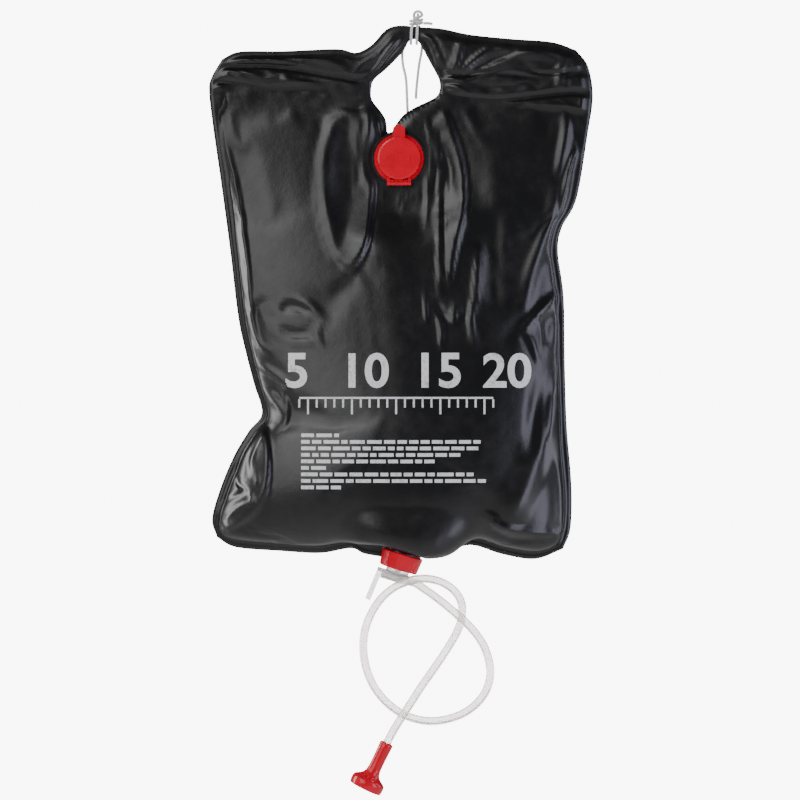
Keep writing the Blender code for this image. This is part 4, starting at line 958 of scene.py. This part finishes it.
def raised_by(x, z, creases):
    """How far the creases raise the film at each place."""
    height = np.zeros(x.shape)
    for _, width, rise, softness, lean, *points in creases:
        away, share, side = to_line(x, z, smooth_line(thousandths(points), crease_steps))
        near = np.clip(1 - away / (width / 1000 * (1 - lean * side)), 0.0, 1.0)
        crest = near ** (1.0 if lean else sharp_crest)
        bump = (1 - softness) * crest + softness * near * near * (3 - 2 * near)
        fade = 0.3 if lean and softness < 0.5 else 0.6
        height += rise / 1000 * bump * np.sin(math.pi * np.clip(share, 0.0, 1.0)) ** fade
    return height


def in_mm(heights):
    """The greatest and the least of some heights, in millimetres."""
    return [round(float(height) * 1000, 1) for height in (heights.max(), heights.min())]


front_rise = raised_by(x, z, front_creases)
print("front folds rise and sink by mm", in_mm(front_rise))

# %% [markdown]
# The back of the bag isn't in the photograph. It's the same film hanging from the same strip, so it gets
# the same kind of folds: a fan down from the hand hole, the crushed left waist and corner, and some dents.

# %% Creases on the back
back_creases = (
    ("fan left", 8, 4.5, 0.25, 0, (-64, -120), (-80, -180), (-90, -250), (-92, -310)),
    ("fan hollow", 10, -4.5, 0.8, 0, (-50, -135), (-60, -200), (-64, -280)),
    ("fan middle", 6, 3.5, 0.2, 0, (-36, -150), (-34, -210), (-40, -290)),
    ("fan right", 8, 4.5, 0.3, 0, (10, -125), (30, -190), (36, -260), (28, -330)),
    ("fan right hollow", 11, -4, 0.8, 0, (34, -118), (56, -180), (66, -250)),
    ("fan far right", 8, 3, 0.5, 0, (60, -112), (86, -160), (104, -220)),
    ("left shoulder", 18, 3, 1, 0, (-180, -130), (-165, -200), (-155, -270)),
    ("right shoulder", 18, 3, 1, 0, (150, -140), (135, -210), (128, -280)),
    ("left waist crest", 7, 4, 0.2, 0, (-190, -402), (-160, -424), (-128, -436)),
    ("left waist hollow", 8, -4, 0.5, 0, (-186, -420), (-152, -442), (-120, -450)),
    ("left waist low crest", 8, 3.6, 0.4, 0, (-174, -446), (-140, -462), (-104, -462)),
    ("gusset edge", 9, 4.5, 0.3, 0, (-172, -470), (-160, -510), (-176, -560), (-210, -586)),
    ("gusset hollow", 9, -5, 0.6, 0, (-180, -490), (-176, -530), (-196, -562)),
    ("gusset rim", 6, 3.6, 0.2, 0, (-182, -472), (-204, -512), (-222, -560)),
    ("right pinch", 7, 4.2, 0.25, 0, (164, -344), (140, -360), (126, -376)),
    ("right pinch low", 7, 3.4, 0.3, 0, (126, -372), (138, -390), (146, -420)),
    ("right pinch hollow", 9, -4.2, 0.6, 0, (160, -358), (142, -372), (146, -392)),
    ("upper right crest", 7, 4, 0.25, 0, (180, -150), (166, -190), (158, -240)),
    ("middle dent", 9, -4, 0.8, 0, (-70, -352), (-30, -344), (6, -352)),
    ("middle dent crest", 5, 2.8, 0.2, 0, (-80, -368), (-34, -362), (12, -368)),
    ("right corner crest", 8, 3.6, 0.3, 0, (70, -566), (108, -590), (160, -598)),
    ("right corner hollow", 8, -3.2, 0.6, 0, (78, -582), (112, -604), (146, -606)),
    ("bottom roll", 9, 3.6, 0.4, 0, (-208, -586), (-130, -600), (-60, -596)),
    ("bottom middle", 10, 3.4, 0.5, 0, (-30, -560), (-12, -590), (20, -604)),
    ("hem fan 1", 5, 2.4, 0.2, 0, (36, -76), (56, -48), (80, -32)),
    ("hem fan 2", 5, 2.2, 0.3, 0, (-56, -72), (-44, -46), (-26, -28)),
    ("hem swell", 9, 2.2, 0.9, 0, (-216, -52), (-170, -50), (-110, -54)),
    ("hem swell right", 9, 2.2, 0.9, 0, (80, -50), (120, -52), (164, -52)),
)
back_rise = raised_by(x, z, back_creases)
print("back folds rise and sink by mm", in_mm(back_rise))

# %% [markdown]
# The top band holds no water. It is welded along two lines on each side of the hand hole and puffs a
# little between them. A fold there bends both sheets together, so the back sheet follows the front one.
# Each pair of distances says where an effect starts and where it is full.

# %% Put the folds and welds on both sheets
weld_lines = (
    ((-227, -64), (-180, -64.5), (-156, -66), (-112, -73), (-66, -81), (-51, -82.5)),
    ((-236, -81), (-193, -86.5), (-164, -94.5), (-112, -106), (-84, -109), (-50, -110)),
    ((39, -77), (65, -75.5), (94, -71.5), (128, -74.5), (151, -75.5), (196, -70)),
    ((22, -95), (50, -100), (94, -103), (136, -98.5), (170, -95), (200, -94.5)),
)
fold_from_rim, fold_from_hole, fold_from_filler = (0.003, 0.013), (0.003, 0.010), (0.032, 0.046)
puff_from_weld, puff_from_rim, puff_from_hole = (0.0, 0.0075), (0.003, 0.014), (0.006, 0.024)
weld_width, hem_end = (0.0006, 0.0034), (-0.002, 0.006)
puff_height, least_gap = 0.0034, 0.0008
from_weld = np.min([to_line(x, z, smooth_line(thousandths(line), crease_steps))[0]
                    for line in weld_lines], axis=0)
in_hem = 1 - eased(down - top, *hem_end)
free = (eased(from_rim, *fold_from_rim) * eased(from_hole, *fold_from_hole)
        * eased(from_filler, *fold_from_filler) * (1 - outlet_flat))
puff = (puff_height * eased(from_weld, *puff_from_weld) * eased(from_rim, *puff_from_rim)
        * eased(from_hole, *puff_from_hole))
front[..., 1] -= free * front_rise + in_hem * puff
back[..., 1] += free * (1 - in_hem) * back_rise + in_hem * (puff - free * front_rise)
welded = 1 - eased(from_weld, *weld_width)
middle = (front[..., 1] + back[..., 1]) / 2
for sheet_points, facing in ((front, -1), (back, 1)):
    flat_y = middle * in_hem + facing * sheet_half
    sheet_points[..., 1] += welded * (flat_y - sheet_points[..., 1])
gap = back[..., 1] - front[..., 1]
front[..., 1] -= np.clip(least_gap - gap, 0.0, None) / 2
back[..., 1] += np.clip(least_gap - gap, 0.0, None) / 2
print("sheets were parted at", int((gap < least_gap).sum()), "grid points")

# %% [markdown]
# The two sheets become one closed skin. Grid cells inside the hand hole go, and the points beside its edge
# move onto it, so the edge is smooth. The front sheet also opens under the filler's bore, because a
# look into the open filler should go into the bag.

# %% Cells and edges of the skin
rows, cols = x.shape
count = rows * cols
index = np.arange(count).reshape(rows, cols)
trim_reach = 0.006


def kept_cells(points, line):
    """Which grid cells stay: those whose middle isn't inside a closed line."""
    mid = (points[:-1, :-1] + points[1:, :-1] + points[1:, 1:] + points[:-1, 1:]) / 4
    return ~inside(mid[..., 0], mid[..., 2], line)


def cell_faces(keep, facing):
    """The kept cells as faces of point numbers, wound to face front or back."""
    i, j = np.nonzero(keep)
    quads = np.stack([index[i, j], index[i + 1, j], index[i + 1, j + 1], index[i, j + 1]], axis=1)
    return quads if facing < 0 else quads[:, ::-1]


def edge_steps(quads):
    """The directed edges that only one face uses."""
    steps = np.concatenate([quads[:, [k, (k + 1) % 4]] for k in range(4)])
    seen = {tuple(step) for step in steps}
    return [step for step in seen if step[::-1] not in seen]


def trimmed(points, line, keep):
    """Move the points on the edge of the kept cells beside a closed line onto that line."""
    beside = np.zeros(count, bool)
    beside[np.array(edge_steps(cell_faces(keep, -1))).reshape(-1)] = True
    from_line, share, _ = to_line(points[..., 0], points[..., 2], line, closed=True)
    near = beside.reshape(rows, cols) & (from_line < trim_reach)
    at = share * len(line)
    i = at.astype(int) % len(line)
    u = (at - at.astype(int))[..., None]
    on_line = line[i] * (1 - u) + np.roll(line, -1, axis=0)[i] * u
    points[near, 0], points[near, 2] = on_line[near, 0], on_line[near, 1]


around_hole = kept_cells(front, hole_edge)
print("cells kept round the hand hole", int(around_hole.sum()), "of", around_hole.size)

# %% [markdown]
# Joining is simple once both sheets share one grid: each step along an open edge of the front sheet, with
# the same step on the back sheet, makes one narrow face of the rim.

# %% Build the film's skin
bore_radius = 0.0172
bore_turn = np.linspace(0.0, 2 * math.pi, 48, endpoint=False)
bore_line = np.stack([filler_x + bore_radius * np.cos(bore_turn),
                      filler_z + bore_radius * np.sin(bore_turn)], axis=1)


def shell_of(front, back):
    """The film's points and faces: both sheets, joined along the outline and the hand hole's edge."""
    around_bore = around_hole & kept_cells(front, bore_line)
    bridge_from = edge_steps(cell_faces(around_hole, -1))
    for points in (front, back):
        trimmed(points, hole_edge, around_hole)
    trimmed(front, bore_line, around_bore)
    quads = np.concatenate([cell_faces(around_bore, -1), cell_faces(around_hole, 1) + count,
                            np.array([(b, a, a + count, b + count) for a, b in bridge_from])])
    used, numbers = np.unique(quads, return_inverse=True)
    points = np.concatenate([front.reshape(-1, 3), back.reshape(-1, 3)])
    return points[used], numbers.reshape(-1, 4), used


film_points, film_faces, film_used = shell_of(front, back)
film = mesh_piece("bag_film", film_points, film_faces)
film.data.materials.append(film_finish)
print("film", len(film_points), "points", len(film_faces), "faces")

# %% [markdown]
# The listed folds set where the film creases, and a cloth simulation makes them behave: the film grows a
# little, water presses it out from within, and its welds are held. It buckles into small wrinkles along
# the welds, as an inflated bag does. No point may move further than a millimetre or two, so the bag
# keeps its photographed outline.

# %% Cloth that grows and is held at its welds
film_growth, water_pressure, settle_steps, settle_cap = 0.004, 1.4, 16, 0.0015


def settle(piece, held):
    """Run the cloth on a piece whose held points are pinned, and cap how far any point moves."""
    before = np.array([v.co for v in piece.data.vertices])
    group = piece.vertex_groups.new(name="welds")
    weights = np.round(held, 1)
    for weight in np.unique(weights[weights > 0]):
        group.add(np.nonzero(weights == weight)[0].tolist(), float(weight), "REPLACE")
    cloth = piece.modifiers.new("Film", "CLOTH")
    rules = cloth.settings
    rules.quality = 6
    rules.mass = 0.25
    rules.tension_stiffness = rules.compression_stiffness = 60.0
    rules.shear_stiffness = 30.0
    rules.bending_stiffness = 4.0
    rules.air_damping = 4.0
    rules.vertex_group_mass = "welds"
    rules.use_pressure = True
    rules.uniform_pressure_force = water_pressure
    rules.shrink_min = -film_growth
    rules.effector_weights.gravity = 0.0
    cloth.point_cache.frame_start, cloth.point_cache.frame_end = 1, settle_steps
    scene = bpy.context.scene
    for step in range(1, settle_steps + 1):
        scene.frame_set(step)
    graph = bpy.context.evaluated_depsgraph_get()
    after = np.array([v.co for v in piece.evaluated_get(graph).data.vertices])
    piece.modifiers.remove(cloth)
    piece.vertex_groups.remove(group)
    scene.frame_set(1)
    move = after - before
    far = np.linalg.norm(move, axis=1)
    scale = settle_cap * np.tanh(far / settle_cap) / np.maximum(far, 1e-9)
    return before + move * scale[:, None] * (1 - held)[:, None], far


print("no point may move more than", settle_cap * 1000, "mm")

# %% [markdown]
# What is held is the outline, the hand hole, the hem's weld lines and the film round the filler and the
# outlet.

# %% Let the film settle
held_rim, held_hole, held_weld = (0.007, 0.011), (0.006, 0.010), (0.002, 0.006)
held_outlet, held_filler = (0.060, 0.125), (0.034, 0.044)
held = 1 - eased(from_rim, *held_rim) * eased(from_hole, *held_hole) * eased(from_weld, *held_weld)
near_outlet = 1 - eased(np.hypot(x - outlet_x, z - outlet_z), *held_outlet)
held_front = np.maximum(held, np.maximum(1 - eased(from_filler, *held_filler), near_outlet))
pins = np.concatenate([held_front.reshape(-1), held.reshape(-1)])[film_used]
settled, far = settle(film, pins)
for vert, place in zip(film.data.vertices, settled):
    vert.co = place
film.data.update()
print("film settled, moves mm: middle", round(float(np.median(far)) * 1000, 2), "most",
      round(float(far.max()) * 1000, 2))
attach(film, "bag")
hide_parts("front_panel", "back_panel")

# %% [markdown]
# The bag's front is printed in white ink: a fill scale of plain numbers, its ruler, and a block of plain
# bars. Ink lies on the film, so each shape is cut into small faces and every point is dropped straight onto
# the film in front of it.

# %% Drop flat shapes onto the film
ink_height, ink_cell, most_cuts = 0.00018, 0.0035, 6
film_tree = BVHTree.FromPolygons([v.co for v in film.data.vertices], [p.vertices for p in film.data.polygons])


def printed(name, outlines):
    """Flat shapes, a bmesh in X and Z, cut fine and laid on the front of the film."""
    for _ in range(most_cuts):
        long_edges = [e for e in outlines.edges if e.calc_length() > ink_cell]
        if not long_edges:
            break
        bmesh.ops.subdivide_edges(outlines, edges=long_edges, cuts=1, use_grid_fill=True)
        bmesh.ops.triangulate(outlines, faces=outlines.faces)
    for vert in outlines.verts:
        place, normal, _, _ = film_tree.ray_cast(Vector((vert.co.x, -0.2, vert.co.z)), Vector((0, 1, 0)))
        vert.co = place + Vector((0.0, -ink_height, 0.0)) + normal * (ink_height / 2)
    mesh = bpy.data.meshes.new(name)
    outlines.to_mesh(mesh)
    outlines.free()
    mesh.shade_smooth()
    mesh.materials.append(ink_finish)
    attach(new_object(name, mesh), "bag")
    print("printed", name, "with", len(mesh.polygons), "faces")


def bars(rectangles):
    """Plain rectangles, each (left, right, low, high), as one bmesh."""
    shape = bmesh.new()
    for left, right, low, high in rectangles:
        corners = ((left, low), (right, low), (right, high), (left, high))
        shape.faces.new([shape.verts.new((a, 0.0, b)) for a, b in corners])
    return shape


print("ink may land on", len(film.data.polygons), "faces")

# %% [markdown]
# The numbers are Blender's own text, made bolder and a little wider, turned into a flat mesh and scaled so
# that each is as tall as it should be.

# %% The fill scale
scale_low, scale_tall, scale_wide, scale_bold = -0.4335, 0.0400, 1.05, 0.022
scale_marks = ((5, -0.138), (10, -0.061), (15, 0.022), (20, 0.101))


def numeral(text, middle_x):
    """A number's filled outline as a bmesh, with its middle at a place and its foot on the scale's line."""
    curve = bpy.data.curves.new("numeral", "FONT")
    curve.body, curve.align_x, curve.size = text, "CENTER", 1.0
    curve.offset, curve.resolution_u = scale_bold, 6
    guide = new_object("numeral", curve)
    bpy.context.view_layer.update()
    mesh = bpy.data.meshes.new_from_object(guide.evaluated_get(bpy.context.evaluated_depsgraph_get()))
    bpy.data.objects.remove(guide)
    shape = bmesh.new()
    shape.from_mesh(mesh)
    bmesh.ops.remove_doubles(shape, verts=shape.verts, dist=0.0005)
    low, high = min(v.co.y for v in shape.verts), max(v.co.y for v in shape.verts)
    size = scale_tall / (high - low)
    for vert in shape.verts:
        vert.co = (middle_x + vert.co.x * size * scale_wide, 0.0, scale_low + (vert.co.y - low) * size)
    return shape


for number, middle_x in scale_marks:
    printed(f"fill_number_{number}", numeral(str(number), middle_x))

# %% [markdown]
# Under the numbers runs a ruler whose every fifth tick is longer. Below it, rows of bars of several lengths
# fill a block. A seeded random generator cuts each row into bars, so they come out the same each time.

# %% Ruler and bars
ruler_left, ruler_right, ruler_high, ruler_thick = -0.135, 0.085, -0.4435, 0.0022
tick_count, tick_half, tick_top = 22, 0.0011, ruler_high - 0.0026
short_tick, long_tick = 0.0095, 0.0170
ticks = [(ruler_left, ruler_right, ruler_high - ruler_thick, ruler_high)]
for k in range(tick_count + 1):
    at = ruler_left + (ruler_right - ruler_left) * k / tick_count
    drop = long_tick if k % 5 == 1 else short_tick
    ticks.append((at - tick_half, at + tick_half, tick_top - drop, tick_top))
printed("fill_ruler", bars(ticks))

bars_left, bars_high, bar_tall, row_drop = -0.1325, -0.4850, 0.0040, 0.00735
bar_shortest, bar_longest, bar_space, bar_least = 0.007, 0.019, 0.0026, 0.002
bar_rows = (0.043, 0.203, 0.203, 0.180, 0.154, 0.032, 0.195, 0.212, 0.046)
rng = np.random.default_rng(7)
cut_bars = []
for row, length in enumerate(bar_rows):
    high = bars_high - row * row_drop
    at = bars_left
    while at < bars_left + length:
        width = rng.uniform(bar_shortest, bar_longest)
        cut_bars.append((at, min(at + width, bars_left + length), high - bar_tall, high))
        at += width + bar_space
printed("plain_bars", bars([bar for bar in cut_bars if bar[1] - bar[0] > bar_least]))

# %% [markdown]
# The other fittings are right as solids, so they stay and only get finishes. The cap, its flange, the
# collar and the shower head's face plate share the bright red, and the tap and its lever are white. The
# outlet's neck and the ring round the filler are welded on and made of the same black plastic as the film.

# %% Finishes on the solid fittings
finishes = {
    red_finish: ("filler_neck", "filler_cap", "collar_nut", "head_rose"),
    white_finish: ("tap_body", "tap_lever"),
    rubber_finish: ("filler_seal", "outlet_gasket", "plug_seal_1", "plug_seal_2"),
    steel_finish: ("filler_hinge_pin",),
    film_finish: ("filler_weld_ring", "outlet_neck"),
}
for finish, fittings in finishes.items():
    for node in fittings:
        for place in nodes[node].material_slots:
            place.material = finish
    print(finish.name, "on", ", ".join(fittings))

# %% [markdown]
# The set is plain: a pale floor far below, and a pale room. The room looks bright to the camera and through
# the clear hose, but gives little light, or the film would turn grey.

# %% The room and the floor
floor_z, floor_reach, floor_sides = -3.2, 14.0, 64
room_seen, room_felt = 11.0, 0.06


def pale_room(seen, felt):
    """A world that looks bright where it is seen directly, and lights the object only faintly."""
    world = bpy.data.worlds.new("pale_room")
    room = Nodes(world)
    faint = room.node("ShaderNodeBackground", {}, {"Color": rgb(1.0, 1.0, 1.0), "Strength": felt})
    bright = room.node("ShaderNodeBackground", {}, {"Color": rgb(0.8, 0.8, 0.8), "Strength": seen})
    to_camera = room.node("ShaderNodeLightPath", {}, {}, "Is Camera Ray")
    direct = to_camera.larger(room.node("ShaderNodeLightPath", {}, {}, "Is Transmission Ray"))
    mixed = room.node("ShaderNodeMixShader", {}, {0: direct, 1: faint, 2: bright})
    room.feed(room.tree.nodes["World Output"].inputs["Surface"], mixed)
    bpy.context.scene.world = world


pale_room(room_seen, room_felt)
floor_turn = np.linspace(0.0, 2 * math.pi, floor_sides, endpoint=False)
floor_rim = [(floor_reach * math.cos(a), floor_reach * math.sin(a), floor_z) for a in floor_turn]
floor = mesh_piece("pale_floor", floor_rim, [tuple(range(floor_sides))])
floor_paint = Paint("pale_floor", Base_Color=rgb(0.84, 0.84, 0.84), Roughness=0.9,
                    Emission_Color=rgb(1.0, 1.0, 1.0), Emission_Strength=0.55)
floor.data.materials.append(finished(floor_paint))

# %% [markdown]
# The film is a black mirror, so what it shows is the lights, and five soft boxes do it all. A wide one at
# the left gives the broad grey sheen, and one high above it picks out the crests of the folds. A cool one
# at the right gives the edge its bluish light. Two narrow ones, a little behind the bag, draw its sides.

# %% Lights
bag_middle = Vector((-0.02, 0.0, -0.35))
plain_white, cool_white = (1.0, 1.0, 1.0), (0.80, 0.80, 1.0)
soft_boxes = {
    "left_box": ((-1.8, -2.7, 0.7), (2.4, 2.4), 52, plain_white),
    "right_box": ((1.9, -1.25, -0.5), (1.1, 2.0), 28, cool_white),
    "top_box": ((-1.5, -1.9, 1.45), (2.2, 1.0), 15, plain_white),
    "left_edge_box": ((-1.8, 0.3, -0.2), (0.5, 1.6), 26, plain_white),
    "right_edge_box": ((1.8, 0.4, -0.4), (0.5, 1.4), 8, (0.84, 0.84, 1.0)),
}
for name, (place, size, watts, color) in soft_boxes.items():
    light = bpy.data.lights.new(name, "AREA")
    light.shape, light.size, light.size_y = "RECTANGLE", *size
    light.energy, light.color = watts, color
    box = new_object(name, light)
    box.location = place
    box.rotation_euler = (bag_middle - Vector(place)).to_track_quat("-Z", "Y").to_euler()
    print(name, watts, "W")
